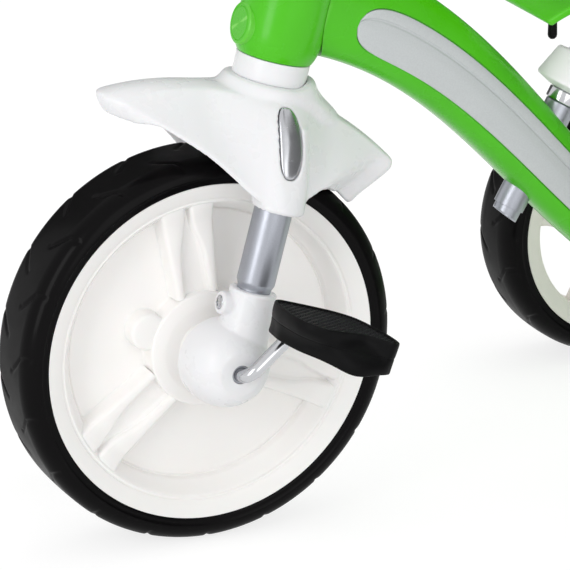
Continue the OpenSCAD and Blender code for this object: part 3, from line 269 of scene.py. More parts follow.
def meshObject(name, shape):
    points, faces = shape
    mesh = bpy.data.meshes.new(name)
    mesh.from_pydata((np.asarray(points) * mm).tolist(), [], faces)
    mesh.validate()
    bm = bmesh.new()
    bm.from_mesh(mesh)
    bmesh.ops.recalc_face_normals(bm, faces=bm.faces)
    bm.to_mesh(mesh)
    bm.free()
    return linked(name, mesh)


def applied(obj):
    shot = obj.evaluated_get(bpy.context.evaluated_depsgraph_get())
    mesh, old = bpy.data.meshes.new_from_object(shot), obj.data
    obj.modifiers.clear()
    obj.data = mesh
    bpy.data.meshes.remove(old)
    return obj


def melted(obj, voxel, passes, keep=1):
    mod = obj.modifiers.new("melt", "REMESH")
    mod.mode = "VOXEL"
    mod.voxel_size = voxel * mm
    mod = obj.modifiers.new("relax", "SMOOTH")
    mod.factor, mod.iterations = 0.5, passes
    if keep < 1:
        obj.modifiers.new("thin", "DECIMATE").ratio = keep
    return applied(obj)


def cut(obj, *shapes):
    for shape in shapes:
        cutter = meshObject("cutter", shape)
        mod = obj.modifiers.new("cut", "BOOLEAN")
        mod.operation, mod.object, mod.solver = "DIFFERENCE", cutter, "MANIFOLD"
        applied(obj)
        bpy.data.objects.remove(cutter)
    return obj


def dress(obj, body, finish, *nodes, sharp=32, slotName=None):
    mesh = obj.data
    mesh.materials.clear()
    mesh.materials.append(mats[finish])
    mesh.shade_smooth()
    mesh.set_sharp_from_angle(angle=math.radians(sharp))
    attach(obj, body)
    slotName or slots[finish]
    if nodes:
        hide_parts(*nodes)
    return obj


def piece(name, shape, *rest, **more):
    return dress(meshObject(name, shape), *rest, **more)


# materials

def linear(rgb):
    return tuple((c / 255 / 12.92 if c < 10 else ((c / 255 + 0.055) / 1.055) ** 2.4) for c in rgb)


def newMaterial(name):
    mat = bpy.data.materials.new(name)
    mat.use_nodes = True
    return mat


def addNode(tree, kind, values=None):
    node = tree.nodes.new("ShaderNode" + kind)
    for socket, value in (values or {}).items():
        node.inputs[socket].default_value = value
    return node


def addRamp(tree, low, high):
    ramp = addNode(tree, "ValToRGB")
    ramp.color_ramp.elements[0].position = low
    ramp.color_ramp.elements[1].position = high
    return ramp


usual = {
    "stretch": (1, 1, 1), "toneScale": 22, "toneDetail": 6, "glossScale": 60, "glossDetail": 4,
    "grainDetail": 3, "noiseLow": 0.3, "noiseHigh": 0.7, "wornFrom": 0.53, "wornTo": 0.62,
    "metallic": 0, "specular": 0.5, "coat": 0, "coatRough": 0.08, "sheen": 0, "soft": 0,
    "softDepth": 0.004, "cells": False,
}
sockets = {
    "Metallic": "metallic", "Specular IOR Level": "specular", "Coat Weight": "coat",
    "Coat Roughness": "coatRough", "Sheen Weight": "sheen", "Subsurface Weight": "soft",
    "Subsurface Scale": "softDepth",
}


def surface(name, look):
    look = {**usual, **look}
    mat = newMaterial(name)
    tree = mat.node_tree
    link, shader = tree.links.new, tree.nodes["Principled BSDF"]
    place = addNode(tree, "TexCoord")
    mapping = addNode(tree, "Mapping", {"Scale": look["stretch"]})
    link(place.outputs["Object"], mapping.inputs["Vector"])

    def pattern(kind, **values):
        texture = addNode(tree, kind, values)
        link(mapping.outputs["Vector"], texture.inputs["Vector"])
        return texture

    # a colour that varies a little
    tone = pattern("TexNoise", Scale=look["toneScale"], Detail=look["toneDetail"])
    ramp = addRamp(tree, look["noiseLow"], look["noiseHigh"])
    base, vary = linear(look["color"]), look["vary"]
    ramp.color_ramp.elements[0].color = (*[c * (1 - vary) for c in base], 1)
    ramp.color_ramp.elements[1].color = (*[min(1, c * (1 + vary)) for c in base], 1)
    link(tone.outputs["Fac"], ramp.inputs["Fac"])
    colour = ramp.outputs["Color"]

    if "worn" in look:  # paler on its edges
        shape = addNode(tree, "NewGeometry")
        edge = addRamp(tree, look["wornFrom"], look["wornTo"])
        link(shape.outputs["Pointiness"], edge.inputs["Fac"])
        rub = addNode(tree, "Mix")
        rub.data_type = "RGBA"
        link(edge.outputs["Color"], rub.inputs["Factor"])
        link(colour, rub.inputs["A"])
        rub.inputs["B"].default_value = (*linear(look["worn"]), 1)
        colour = rub.outputs["Result"]
    link(colour, shader.inputs["Base Color"])

    gloss = pattern("TexNoise", Scale=look["glossScale"], Detail=look["glossDetail"])
    low, high = look["rough"]
    spread = addNode(tree, "MapRange", {"From Min": look["noiseLow"], "From Max": look["noiseHigh"],
                                        "To Min": low, "To Max": high})
    link(gloss.outputs["Fac"], spread.inputs["Value"])
    link(spread.outputs["Result"], shader.inputs["Roughness"])

    scale, height, strength = look["grain"]
    if look["cells"]:
        relief = pattern("TexVoronoi", Scale=scale).outputs["Distance"]
    else:
        relief = pattern("TexNoise", Scale=scale, Detail=look["grainDetail"]).outputs["Fac"]
    bump = addNode(tree, "Bump", {"Strength": strength, "Distance": height})
    link(relief, bump.inputs["Height"])
    link(bump.outputs["Normal"], shader.inputs["Normal"])

    for socket, key in sockets.items():
        shader.inputs[socket].default_value = look[key]
    return mat


# grain: its scale, its height in metres and its strength
looks = {
    "greenBeam": {"color": (76, 190, 14), "vary": 0.04, "rough": (0.24, 0.32), "specular": 0.3,
                  "coat": 0.1, "grain": (420, 0.00006, 0.12), "worn": (120, 212, 80)},
    "greenMoulding": {"color": (76, 190, 14), "vary": 0.04, "rough": (0.28, 0.38), "specular": 0.3,
                      "grain": (700, 0.00005, 0.15), "worn": (112, 206, 72)},
    "wheelWhite": {"color": (246, 244, 242), "vary": 0.012, "rough": (0.34, 0.46), "specular": 0.3,
                   "grain": (1300, 0.00003, 0.12), "soft": 0.05},
    "guardWhite": {"color": (234, 234, 236), "vary": 0.01, "rough": (0.24, 0.34), "specular": 0.35,
                   "grain": (500, 0.00004, 0.08), "soft": 0.05},
    # the drum's white is brighter and less green than the other white mouldings: painted light, lifting
    # the drum out of the seat's shade and cancelling the green light the seat throws on it
    "drumWhitePaintedLight": {"color": (255, 248, 255), "vary": 0.01, "rough": (0.28, 0.38), "specular": 0.3,
                  "grain": (700, 0.00003, 0.08)},
    "rearWhite": {"color": (250, 245, 241), "vary": 0.02, "rough": (0.38, 0.5), "specular": 0.25,
                  "grain": (1300, 0.00003, 0.12)},
    "greyPanel": {"color": (196, 200, 201), "vary": 0.04, "toneScale": 900, "rough": (0.34, 0.46),
                  "metallic": 0.2, "specular": 0.3, "grain": (1800, 0.00002, 0.2)},
    "silverTube": {"color": (168, 171, 179), "vary": 0.05, "toneScale": 1400, "rough": (0.32, 0.4),
                   "metallic": 0.95, "grain": (1500, 0.00002, 0.12)},
    "brightSteel": {"color": (196, 197, 200), "vary": 0.03, "rough": (0.10, 0.18), "metallic": 1,
                    "stretch": (1, 1, 6), "grain": (300, 0.00002, 0.08)},
    "polished": {"color": (186, 187, 191), "vary": 0.03, "rough": (0.20, 0.28), "metallic": 1,
                 "stretch": (1, 1, 4), "grain": (500, 0.00002, 0.08)},
    "plainSteel": {"color": (150, 152, 155), "vary": 0.08, "rough": (0.32, 0.45), "metallic": 1,
                   "stretch": (1, 1, 8), "grain": (700, 0.00003, 0.2)},
    "blackPlastic": {"color": (13, 13, 14), "vary": 0.15, "rough": (0.42, 0.52), "specular": 0.08,
                     "grain": (2200, 0.00006, 0.3), "worn": (34, 34, 36)},
    "greyBush": {"color": (168, 170, 177), "vary": 0.06, "rough": (0.38, 0.5), "specular": 0.3,
                 "grain": (1500, 0.00004, 0.2)},
    "treadFoam": {"color": (7, 6, 7), "vary": 0.2, "rough": (0.38, 0.48), "specular": 0.03, "coat": 0.1,
                  "coatRough": 0.16, "cells": True, "grain": (1500, 0.00004, 0.12), "worn": (24, 24, 26)},
    "gripRubber": {"color": (16, 16, 17), "vary": 0.15, "rough": (0.55, 0.68), "specular": 0.2,
                   "cells": True, "grain": (1600, 0.00008, 0.3)},
    "gripFoam": {"color": (21, 21, 22), "vary": 0.2, "rough": (0.8, 0.92), "specular": 0.2,
                 "cells": True, "grain": (1100, 0.0002, 0.5), "sheen": 0.1},
}
mats = {name: surface(name, look) for name, look in looks.items()}

# the finish of each CAD material, and the slots that the finishes go in
cadLooks = {
    "green_beam": "greenBeam", "green_moulding": "greenMoulding", "white_moulding": "guardWhite",
    "grey_panel": "greyPanel", "silver_tube": "silverTube", "bright_steel": "brightSteel",
    "plain_steel": "plainSteel", "black_plastic": "blackPlastic", "grey_bush": "greyBush",
    "tread_foam": "treadFoam", "grip_rubber": "gripRubber", "grip_foam": "gripFoam",
}
slots = {finish: slotName for slotName, finish in cadLooks.items()}
slots.update({finish: "white_moulding" for finish in ("wheelWhite", "drumWhitePaintedLight", "rearWhite")})
slots["polished"] = "bright_steel"
for node in cadNodes.values():
    for cadSlot in node.material_slots:
        found = cadSlot.material.name.split(".")[0]
        cadSlot.material = mats[cadLooks.get(found, "plainSteel")]
print("materials made:", len(mats))


# tyres: foam rings with short waved grooves across the shoulders

tyres = {
    # how far out from the rim's seat, and how far in from the side
    "bead": [(-5, 4.6), (0.1, 4.6), (0.1, 1.6), (0.7, 1.1), (2.5, 0.95), (4.2, 0.8), (4.8, 0.4),
             (5.3, 0.15), (5.9, 0.2)],
    "shoulder": 13, "shoulderFrom": 14, "crown": 0.25, "plainWall": 6.5, "count": 900,
    "shoulderSteps": 34, "crownSteps": 13,
    "grooveDepth": 1.2, "grooveAhead": 2.0, "grooveBehind": 1.1,
    "grooveFrom": 2.5, "grooveTo": 25.5, "skew": -0.6, "skewMid": 13,
    "waveAt": (0, 0.16, 0.38, 0.6, 0.75, 1), "wave": (0, 1.2, -0.5, -3.0, -2.4, 0),
    "front": {"r": 130, "w": 56, "tread": 14.5, "rim": 113.5, "grooves": 19, "first": 11.6},
    "rear": {"r": 98, "w": 56, "tread": 9, "rim": 81.5, "grooves": 14, "first": 4},
}


def tyreShape(form, matrix):
    r, tread, rim, half = form["r"], form["tread"], form["rim"], form["w"] / 2
    shoulder = tyres["shoulder"]
    profile = [(rim + out, half - into) for out, into in tyres["bead"]]
    for a in np.radians(np.linspace(tyres["shoulderFrom"], 90, tyres["shoulderSteps"])):
        profile.append((r - shoulder + shoulder * math.sin(a), tread + (half - tread) * math.cos(a)))
    for y in np.linspace(tread, 0, tyres["crownSteps"])[1:]:
        profile.append((r + tyres["crown"] * (1 - (y / tread) ** 2), y))
    profile += mirrored(profile[:-1])
    q, y = np.array(profile).T
    wide = np.abs(y)
    s = np.clip((wide - tyres["grooveFrom"]) / (tyres["grooveTo"] - tyres["grooveFrom"]), 0, 1)
    line = tyres["skew"] * (wide - tyres["skewMid"]) + np.interp(s, tyres["waveAt"], tyres["wave"])
    window = np.sin(math.pi * s) ** 0.5
    window[q < rim + tyres["plainWall"]] = 0
    a = around(tyres["count"])
    fromTop = a + math.pi / 2
    pitch = 2 * math.pi / form["grooves"]
    rings = []
    for k in range(len(q)):
        start = math.radians(form["first"]) + (pitch / 2 if y[k] < 0 else 0)
        away = ((fromTop - start + pitch / 2) % pitch - pitch / 2) * r - line[k]
        away = (away + pitch * r / 2) % (pitch * r) - pitch * r / 2
        width = np.where(away > 0, tyres["grooveAhead"], tyres["grooveBehind"])
        sunk = q[k] - tyres["grooveDepth"] * window[k] * np.exp(-(away / width) ** 2)
        rings.append(ringAt(sunk, a, y[k]))
    return placed(matrix, skin(rings, wrap=True))


piece("frontTyre", tyreShape(tyres["front"], frontAxle), "front_wheel", "treadFoam", "front_tyre",
      sharp=50)
for side, word in bothSides:
    piece(word + "RearTyre", tyreShape(tyres["rear"], rearAxle(side)), "rear_wheel_" + word, "treadFoam",
          "rear_tyre_" + word, sharp=50)
print("tyres made")


# front rim: dished disc, paired ribs, hub ring and one round lobe

frontRim = {
    "half": [(108.4, 23.4), (113.5, 23.4), (113.5, 26.9), (102.9, 21.95), (102.4, 20.8), (101.3, 20.6),
             (100.8, 21.0), (100.2, 20.8), (99.4, 20.1), (92.8, 8.8), (92.3, 6.4), (91.9, 4.1),
             (91.0, 4.1), (90.4, 5.1), (40.2, 5.1), (39.0, 6.2), (38.7, 17.8), (37.8, 18.7), (30, 20.3),
             (20.6, 20.3), (20, 20.9), (20, 34.2), (4.52, 34.2)],
    "edge": 0.8, "count": 360, "spokes": 3, "turn": 8, "sections": 60, "ease": 8,
    # half widths of the groove and of the pair of ribs along the spoke
    "innerAt": (37, 50, 64, 72, 80, 90, 102), "inner": (8.0, 7.6, 7.0, 5.8, 3.0, 1.3, 1.0),
    "outerAt": (37, 50, 60, 70, 80, 90, 97, 102), "outer": (15.4, 15.8, 16.4, 17, 17.6, 18.3, 19.2, 21.5),
    "ribTop": 17.3, "rimTop": 20, "riseFrom": 84, "riseRun": 15, "ribFoot": 4.2, "floor": 12.5,
    "flank": ((-1.6, 0), (-0.7, 1.5), (-0.1, 3.4)), "groove": ((0.97, 1.4), (0.85, 0.4), (0.6, 0)),
    "brow": ((0.3, 3.2), (0.9, 1.5), (1.9, 0.4), (3.2, 0)),
    "lobe": ([(0.05, 3), (13.7, 3), (12.5, 6), (12.3, 17), (0.05, 17.4)], 2.5),
    "lobeAt": 42.7, "lobeTurn": -22,
}


def spokeShape(form, matrix):
    # a pair of ribs with a shallow groove between them, drawn as sections along the spoke
    u = np.linspace(form["innerAt"][0], form["innerAt"][-1], form["sections"])
    inner = eased(np.interp(u, form["innerAt"], form["inner"]), form["ease"])
    outer = eased(np.interp(u, form["outerAt"], form["outer"]), form["ease"])
    foot, floor, brow = form["ribFoot"], form["floor"], form["brow"]
    rings = []
    for q, a, b in zip(u, inner, outer):
        top = mix(form["ribTop"], form["rimTop"], smooth((q - form["riseFrom"]) / form["riseRun"]))
        right = [(b - d, foot + z) for d, z in form["flank"]] + [(b - d, top - z) for d, z in brow]
        right += [(a + d, top - z) for d, z in reversed(brow)]
        right += [(a * share, floor + z) for share, z in form["groove"]]
        rings.append([(q, y, z) for y, z in right] + [(q, -y, z) for y, z in reversed(right)])
    return placed(matrix, skin(rings))


parts = [twinned(frontRim["half"], frontRim["edge"], frontAxle, frontRim["count"])]
for k in range(frontRim["spokes"]):
    along = frontAxle @ turn(frontRim["turn"] - 90 + 360 / frontRim["spokes"] * k, "Z")
    parts += [spokeShape(frontRim, along @ flipZ(face)) for face in (1, -1)]
lobe = frontAxle @ turn(frontRim["lobeTurn"], "Z") @ move(frontRim["lobeAt"], 0, 0)
parts += [turned(*frontRim["lobe"], lobe @ flipZ(face), ring=False) for face in (1, -1)]
piece("frontRim", joined(*parts), "front_wheel", "wheelWhite", "front_rim", sharp=40)


# rear rims: a ring, three broad spokes and a hub under a domed cap

rearRim = {
    "ring": [(76.4, 23.4), (81.5, 23.4), (81.5, 26.9), (70.6, 21.9), (70.2, 21.1), (69.4, 20.9),
             (68.6, 20.6), (68, 17)],
    "hub": [(8.05, 29), (26, 29), (27, 28), (27.6, 12)], "edge": 0.8,
    "ringCount": 240, "hubCount": 120, "tipSteps": 24, "footSteps": 16,
    "spokes": 3, "spokeHalf": 11, "spokeEdge": 2.2, "spokeCorner": 5, "spokeReach": 70, "spokeTurn": 27,
    "waist": [(40, 24.5), (50, 25.6)], "footR": 25, "footTurn": 50, "step": 1.5,
    "cap": ([(0.05, 29), (23.2, 29.2), (24, 30.6), (23.4, 33.4), (20.5, 35.2), (14, 36.0), (13.2, 35.6),
             (12.4, 36.1), (0.05, 36.4)], 1),
}
loop = arc(0, 0, rearRim["spokeReach"], -rearRim["spokeTurn"], rearRim["spokeTurn"], rearRim["tipSteps"])
loop += rearRim["waist"][::-1]
loop += arc(0, 0, rearRim["footR"], rearRim["footTurn"], -rearRim["footTurn"], rearRim["footSteps"])
loop += [(x, -y) for x, y in rearRim["waist"]]
loop = resampled(rounded(loop, rearRim["spokeCorner"], closed=True), rearRim["step"])
for side, word in bothSides:
    hub, half = rearAxle(side), rearRim["spokeHalf"]
    parts = [twinned(rearRim["ring"], rearRim["edge"], hub, rearRim["ringCount"]),
             twinned(rearRim["hub"], rearRim["edge"], hub, rearRim["hubCount"])]
    for k in range(rearRim["spokes"]):
        spoke = hub @ turn(90 + 360 / rearRim["spokes"] * k, "Z")
        parts.append(slab(loop, -half, half, rearRim["spokeEdge"], spoke))
    piece(word + "RearRim", joined(*parts), "rear_wheel_" + word, "rearWhite", "rear_rim_" + word,
          sharp=40)
    cap = turned(*rearRim["cap"], hub @ flipZ(side), many, ring=False)
    piece(word + "HubCap", cap, "rear_wheel_" + word, "greenMoulding", "hub_cap_" + word)
print("rims made")


# crank: one bent bright rod from pedal to pedal

crank = {"r": 4.5, "face": 72.5, "bend": 9, "length": 55, "turn": 50, "spindle": 54.7, "hubSteps": 12,
         "bendSteps": 14, "armSteps": 8}


def crankPath(form):
    face, bend, length = form["face"], form["bend"], form["length"]
    curve, arm = form["bendSteps"], form["armSteps"]
    path = [(0, y, 0) for y in np.linspace(0, face, form["hubSteps"])[:-1]]
    path += [(0, y, z) for y, z in arc(face, bend, bend, -90, 0, curve)]
    path += [(0, face + bend, z) for z in np.linspace(bend, length - bend, arm)[1:-1]]
    path += [(0, y, z) for y, z in arc(face + 2 * bend, length - bend, bend, 180, 90, curve)]
    path += [(0, y, length) for y in np.linspace(0, form["spindle"], arm)[1:] + face + 2 * bend]
    return path


rod = sweep(crankPath(crank), crank["r"])
spots = [move(frontX, 0, frontR) @ turn(flip - crank["turn"], "Y") @ turn(flip, "Z") for flip in (0, 180)]
piece("crankRod", joined(*[placed(spot, rod) for spot in spots]), "front_wheel", "brightSteel", "crank")


# pedals: shells with a waved outer wall, a parting line and a fine lattice on both faces

pedal = {
    "w": 58, "h": 10.5, "tilt": 19, "inY": 91.5, "twist": 7, "bore": [(4.56, -60), (4.56, 25)],
    "wallStep": 0.6, "count": 300,
    "top": [(-32.9, 21.2), (-31.6, 4.3), (-24, -18.5), (-12.2, -26.6), (3.2, -28.7), (25.4, -28.7),
            (33, -26.6), (36.9, -20), (38.6, -8.3), (38.6, 7.2), (36.6, 19), (30.5, 27.4), (21.5, 30.2),
            (7.2, 27), (-5.9, 23.4), (-14.9, 25.4), (-24, 30.8), (-30.4, 28.2)],
    "bottom": [(-31.4, 25), (-33.6, 5), (-29, -14), (-17, -25), (0, -28.6), (18, -28.8), (28.4, -28.2),
               (32.8, -24.5), (34.6, -15), (35, -3.4), (30, 13.5), (22.1, 22.9), (15, 28.6), (8, 33.4),
               (0, 36.2), (-9, 36.6), (-19.8, 34), (-27.6, 30.4)],
    # upper half of the wall: how far in, and how high
    "up": [(0.3, 0.0), (0.3, 0.25), (0.08, 0.5), (0, 1.2), (0, 3), (0, 5), (0, 7), (0, 8.8), (0.1, 9.7),
           (0.4, 10.3), (0.8, 10.5), (1.25, 10.4), (1.6, 9.9), (1.8, 9.0), (2.1, 8.4), (2.6, 8.2)],
    "sag": 3.5, "sagX": -2, "sagWide": 14, "sagFrom": 8, "sagRun": 18, "sagIn": 1.7,
    "lip": 2.0, "pitch": 3.3, "span": 60, "reach": 70, "diagonal": 0.7071, "step": 0.5, "least": 6,
    "ridge": [(-0.75, 7.6), (-0.45, 8.9), (-0.225, 9.2)],
}


def waved(points, step):
    # a smooth closed loop through the points
    p, out = np.asarray(points, float), []
    for i in range(len(p)):
        a, b, c, d = p[i - 1], p[i], p[(i + 1) % len(p)], p[(i + 2) % len(p)]
        for t in np.linspace(0, 1, 12, endpoint=False):
            out.append(0.5 * (2 * b + (c - a) * t + (2 * a - 5 * b + 4 * c - d) * t * t
                              + (3 * b - a - 3 * c + d) * t ** 3))
    return resampled([tuple(q) for q in out], step)


def reachAt(loop, angles):
    p = np.asarray(loop, float)
    at = np.arctan2(p[:, 1], p[:, 0])
    order = np.argsort(at)
    return np.interp(angles, at[order], np.hypot(p[:, 0], p[:, 1])[order], period=2 * math.pi)


def pedalShape(form, top, bottom, matrix):
    angles = around(form["count"])
    rings = []
    for d, z in mirrored(form["up"][1:]) + form["up"]:
        k = smooth(0.5 + z / (2 * form["twist"]))
        r = mix(reachAt(inset(bottom, d), angles), reachAt(inset(top, d), angles), k)
        x, y, level = r * np.cos(angles), r * np.sin(angles), np.full(len(r), z)
        if z < 0 and d < form["sagIn"]:  # the lower rim hangs lower in its middle
            sag = np.exp(-((x - form["sagX"]) / form["sagWide"]) ** 2)
            sag = sag * np.clip((y - form["sagFrom"]) / form["sagRun"], 0, 1)
            level = level * (1 + sag * form["sag"] / form["h"])
        rings.append(np.column_stack([x, y, level]))
    return placed(matrix, skin(rings))


def within(loop, x, y):
    p = np.asarray(loop)
    q = np.roll(p, -1, 0)
    crosses = (p[:, 1] > y) != (q[:, 1] > y)
    rise = np.where(np.abs(q[:, 1] - p[:, 1]) < tiny, tiny, q[:, 1] - p[:, 1])
    return np.count_nonzero(crosses & (x < (q[:, 0] - p[:, 0]) * (y - p[:, 1]) / rise + p[:, 0])) % 2 == 1


def lattice(form, loop, face, matrix):
    # crossing ridges, each as long as it lies within the loop
    parts, k, reach = [], form["diagonal"], form["reach"]
    cross = form["ridge"] + [(-d, z) for d, z in reversed(form["ridge"])]
    for slope in (-1, 1):
        for offset in np.arange(-form["span"], form["span"] + 0.1, form["pitch"]):
            line = [(s * k + offset * k * slope, -s * k * slope + offset * k)
                    for s in np.arange(-reach, reach, form["step"])]
            run = [spot for spot in line if within(loop, *spot)]
            if len(run) < form["least"]:
                continue
            rings = [[(x + d * k * slope, y + d * k, face * z) for d, z in cross]
                     for x, y in (run[0], run[-1])]
            parts.append(placed(matrix, skin(rings)))
    return parts


top, bottom = [waved(pedal[face], pedal["wallStep"]) for face in ("top", "bottom")]
for side, word in bothSides:
    swing, arm = math.radians(crank["turn"] + (0 if side > 0 else 180)), crank["length"]
    spot = (move(frontX - arm * math.sin(swing), side * (pedal["inY"] + pedal["w"] / 2),
                 frontR + arm * math.cos(swing)) @ turn(-pedal["tilt"], "Y"))
    leaf = spot @ flipY(side)
    body = meshObject(word + "Pedal", pedalShape(pedal, top, bottom, leaf))
    cut(body, lathe(pedal["bore"], spot @ turn(-side * 90, "X"), few))
    grid = []
    for face, loop in ((1, top), (-1, bottom)):
        grid += lattice(pedal, inset(loop, pedal["lip"]), face, leaf)
    tread = meshObject(word + "PedalLattice", joined(*grid))
    dress(body, word + "_pedal", "blackPlastic", "pedal_" + word)
    dress(tread, word + "_pedal", "blackPlastic")
print("crank and pedals made")


# fork legs: necked silver tubes, white domed ends, cross-head screws and bearing rings

legs = {
    "y": 50,
    "tube": ([(9.5, 24), (11, 24), (11, 52.6), (11.5, 54.2), (12.5, 56.4), (12.5, 113), (11, 113),
              (11, 56.2), (9.5, 53)], 0.6),
    "domeBase": 36.5, "domeR": 29, "domeFace": 72.5, "domePower": 2.5, "domeEdge": 0.8, "domeSide": 3,
    "domeShare": 0.93, "domeSteps": 26, "mouth": ((9.0, 0.1), (7.6, -0.1)),
    "socket": [(15.5, -6), (15.5, 50.2), (14.7, 51)],
    "web": [(17.5, 4), (17.2, 16), (16.6, 28), (15.6, 38)],
    "boss": [(7.9, 0), (7.4, 16), (7.4, 21.4), (6.8, 22)], "bossH": 40, "bossReach": 22,
    "voxel": 0.8, "passes": 6,
    "axleBore": [(6.25, 30), (6.25, 80)], "tubeBore": [(11.06, 24), (11.06, 60)],
    "screwBore": [(4.75, 20.6), (4.75, 30)],
    "screw": [(0.05, -1.6), (4.5, -1.6), (4.55, -0.2), (4.2, 0.5), (3.0, 1.05), (1.4, 1.3), (0.05, 1.35)],
    "slot": (5.2, 1.1, 0.3), "slotLow": 0.25, "slotHigh": 3, "slotEdge": 0.1, "slotTurns": (20, 110),
    "bush": ([(4.56, 40), (6.15, 40), (6.15, 71.2), (5.8, 71.6), (5.0, 71.6), (4.56, 71.2)], 0.4),
}


def domeProfile(form):
    base, face, r, p = form["domeBase"], form["domeFace"], form["domeR"], form["domePower"]
    edge, start = form["domeEdge"], base + form["domeSide"]
    dome = [(r - edge, base), (r, base + edge), (r, start)]
    for k in np.linspace(0, 1, form["domeSteps"])[1:]:
        z = k * form["domeShare"]
        dome.append((r * (1 - z ** p) ** (1 / p), start + (face - start) * k))
    return dome + [(q, face + z) for q, z in form["mouth"]]


for side, word in bothSides:
    leg = steered @ flipY(side)
    column = leg @ move(0, legs["y"], 0)
    axle = leg @ move(layout["axleOffset"], 0, 0) @ turn(-90, "X")
    ahead = leg @ move(0, legs["y"], legs["bossH"]) @ turn(90, "Y")
    piece(word + "ForkTube", turned(*legs["tube"], column), "fork", "silverTube", "fork_tube_" + word)
    parts = [lathe(domeProfile(legs), axle, many), lathe(legs["socket"], column),
             lathe(legs["web"], column), lathe(legs["boss"], ahead, some)]
    body = melted(meshObject(word + "Dropout", joined(*parts)), legs["voxel"], legs["passes"])
    cut(body, lathe(legs["axleBore"], axle, some), lathe(legs["tubeBore"], column, some),
        lathe(legs["screwBore"], ahead, few))
    dress(body, "fork", "guardWhite", "dropout_" + word, sharp=45)
    piece(word + "CrankRing", turned(*legs["bush"], axle, some), "fork", "greyBush", "crank_bush_" + word)

    spot = leg @ move(legs["bossReach"], legs["y"], legs["bossH"]) @ turn(90, "Y")
    head = meshObject(word + "ForkScrew", lathe(legs["screw"], spot, few))
    cut(head, *[slab(roundRect(*legs["slot"]), legs["slotLow"], legs["slotHigh"], legs["slotEdge"],
                     spot @ turn(angle, "Z")) for angle in legs["slotTurns"]])
    nodes = ["dropout_screws"] if side > 0 else []  # one node holds both screws
    dress(head, "fork", "brightSteel", *nodes, slotName="plain_steel")
print("fork legs made")


# mudguard: a thin winged sheet, melted into its neck and pillars

guard = {
    "h": 172, "wall": 3, "half": 63, "skirtH": 107, "tipHalf": 19.5, "roofShare": 0.4, "hollow": 0.06,
    "roofHalf": 13, "roofTip": 18.8, "roofPower": 2.5, "skirtRound": 1.3, "crown": 2, "crownFade": 0.8,
    "bodyReach": 0.5, "bodyHalf": 18, "bodyFull": 0.31, "lipFrom": 0.6,
    "rows": 121, "cols": 81, "wrapSteps": 30, "ease": 30, "edgeSteps": 101, "pillarSteps": 30,
    "front": {"reach": 116.5, "bow": 0, "roofBow": 11, "drop": 19, "power": 2.9, "tipFall": 0.8,
              "edge": (0, 0.002, 0.02, 0.135, 0.3, 0.46, 0.585, 0.675, 0.757, 0.845, 0.92, 1),
              "wrapFrom": 0.73, "lipEnd": 1, "fade": 1.15,
              "lip": [(-1, -2), (-2, -4), (-4.4, -7.4), (-7, -10.2), (-9.6, -12.5)]},
    "rear": {"reach": 97, "bow": 21, "roofBow": 0, "drop": 31, "power": 2.0, "tipFall": 3,
             "edge": (0, 0.01, 0.05, 0.17, 0.305, 0.44, 0.59, 0.73, 0.84, 0.925, 0.98, 1),
             "wrapFrom": 0.42, "lipEnd": 0.8, "fade": 0.8,
             "lip": [(-0.4, -1.5), (-0.6, -3), (0, -6), (3, -9.8), (7.2, -14.4), (11.6, -19),
                     (16.2, -23.6), (20.4, -28.6), (22.6, -32.2)]},
    "edgeAt": (0, 0.05, 0.1, 0.2, 0.3, 0.4, 0.5, 0.6, 0.7, 0.8, 0.9, 1),
    # rings of the neck: height, half length to the front and rear, half width, rise at the rear
    "neck": [(160, 36, 58, 27, 0), (166, 35, 50, 28.5, 0.5), (169, 34.2, 43.5, 30.5, 1.5),
             (171.5, 33.2, 38, 31.3, 2.6), (174.5, 31, 33, 30.8, 4.4), (177.4, 29.6, 30.2, 29.6, 5.8),
             (178.3, 28.6, 28.8, 28.6, 6.2)], "neckFrom": 8, "neckRun": 20,
    "pillarR": 17.2, "pillarX": -2.8, "pillarTopX": -1.5, "pillarY": 50, "pillarTopY": 27,
    "pillarFoot": 104.8, "pillarTopH": 158, "pillarTopHalf": 18.2, "pillarTopR": 16, "pillarSquare": 2.7,
    "pillarLean": 1.15, "squareRate": 3,
    "ovalL": 48, "ovalW": 16.8, "ovalX": -1.9, "ovalY": 47, "ovalH": 148.2, "ovalBend": 2, "ovalTilt": 27,
    "ovalTurn": 4.5, "ovalSquare": 2.5, "ovalSink": 4.5, "ovalGap": 0.2, "ovalEdge": 0.8, "ovalOver": 40,
    "plateIn": 0.35, "plateFoot": [(0.95, -4.5), (1, -4.1), (1, -1.8)], "plateSide": -1.8,
    "plateDome": 3.4, "plateTurn": (0.06, 1.54, 26),
    "wellR": 117, "wellRound": 14.6, "wellFlat": 18.5, "wellSide": 13.5,
    "wellSteps": 20, "wellCount": 160,
    "steererBore": [(13.1, 100), (13.1, 190)], "collarSeat": [(24.6, 178.2), (24.6, 192)],
    "tubeBore": [(12.9, 60), (12.9, 113.4)], "melt": (0.95, 12), "lastMelt": (1.06, 7),
    "collar": ([(13, 178.35), (24.1, 178.35), (24.4, 193.0), (19, 193.0), (19, 191.6), (13, 191.6)], 0.6),
}
edgeRun = np.linspace(0, 1, guard["edgeSteps"])
for end in (guard["front"], guard["rear"]):
    end["rise"] = eased(np.interp(edgeRun, guard["edgeAt"], end["edge"]), guard["ease"])


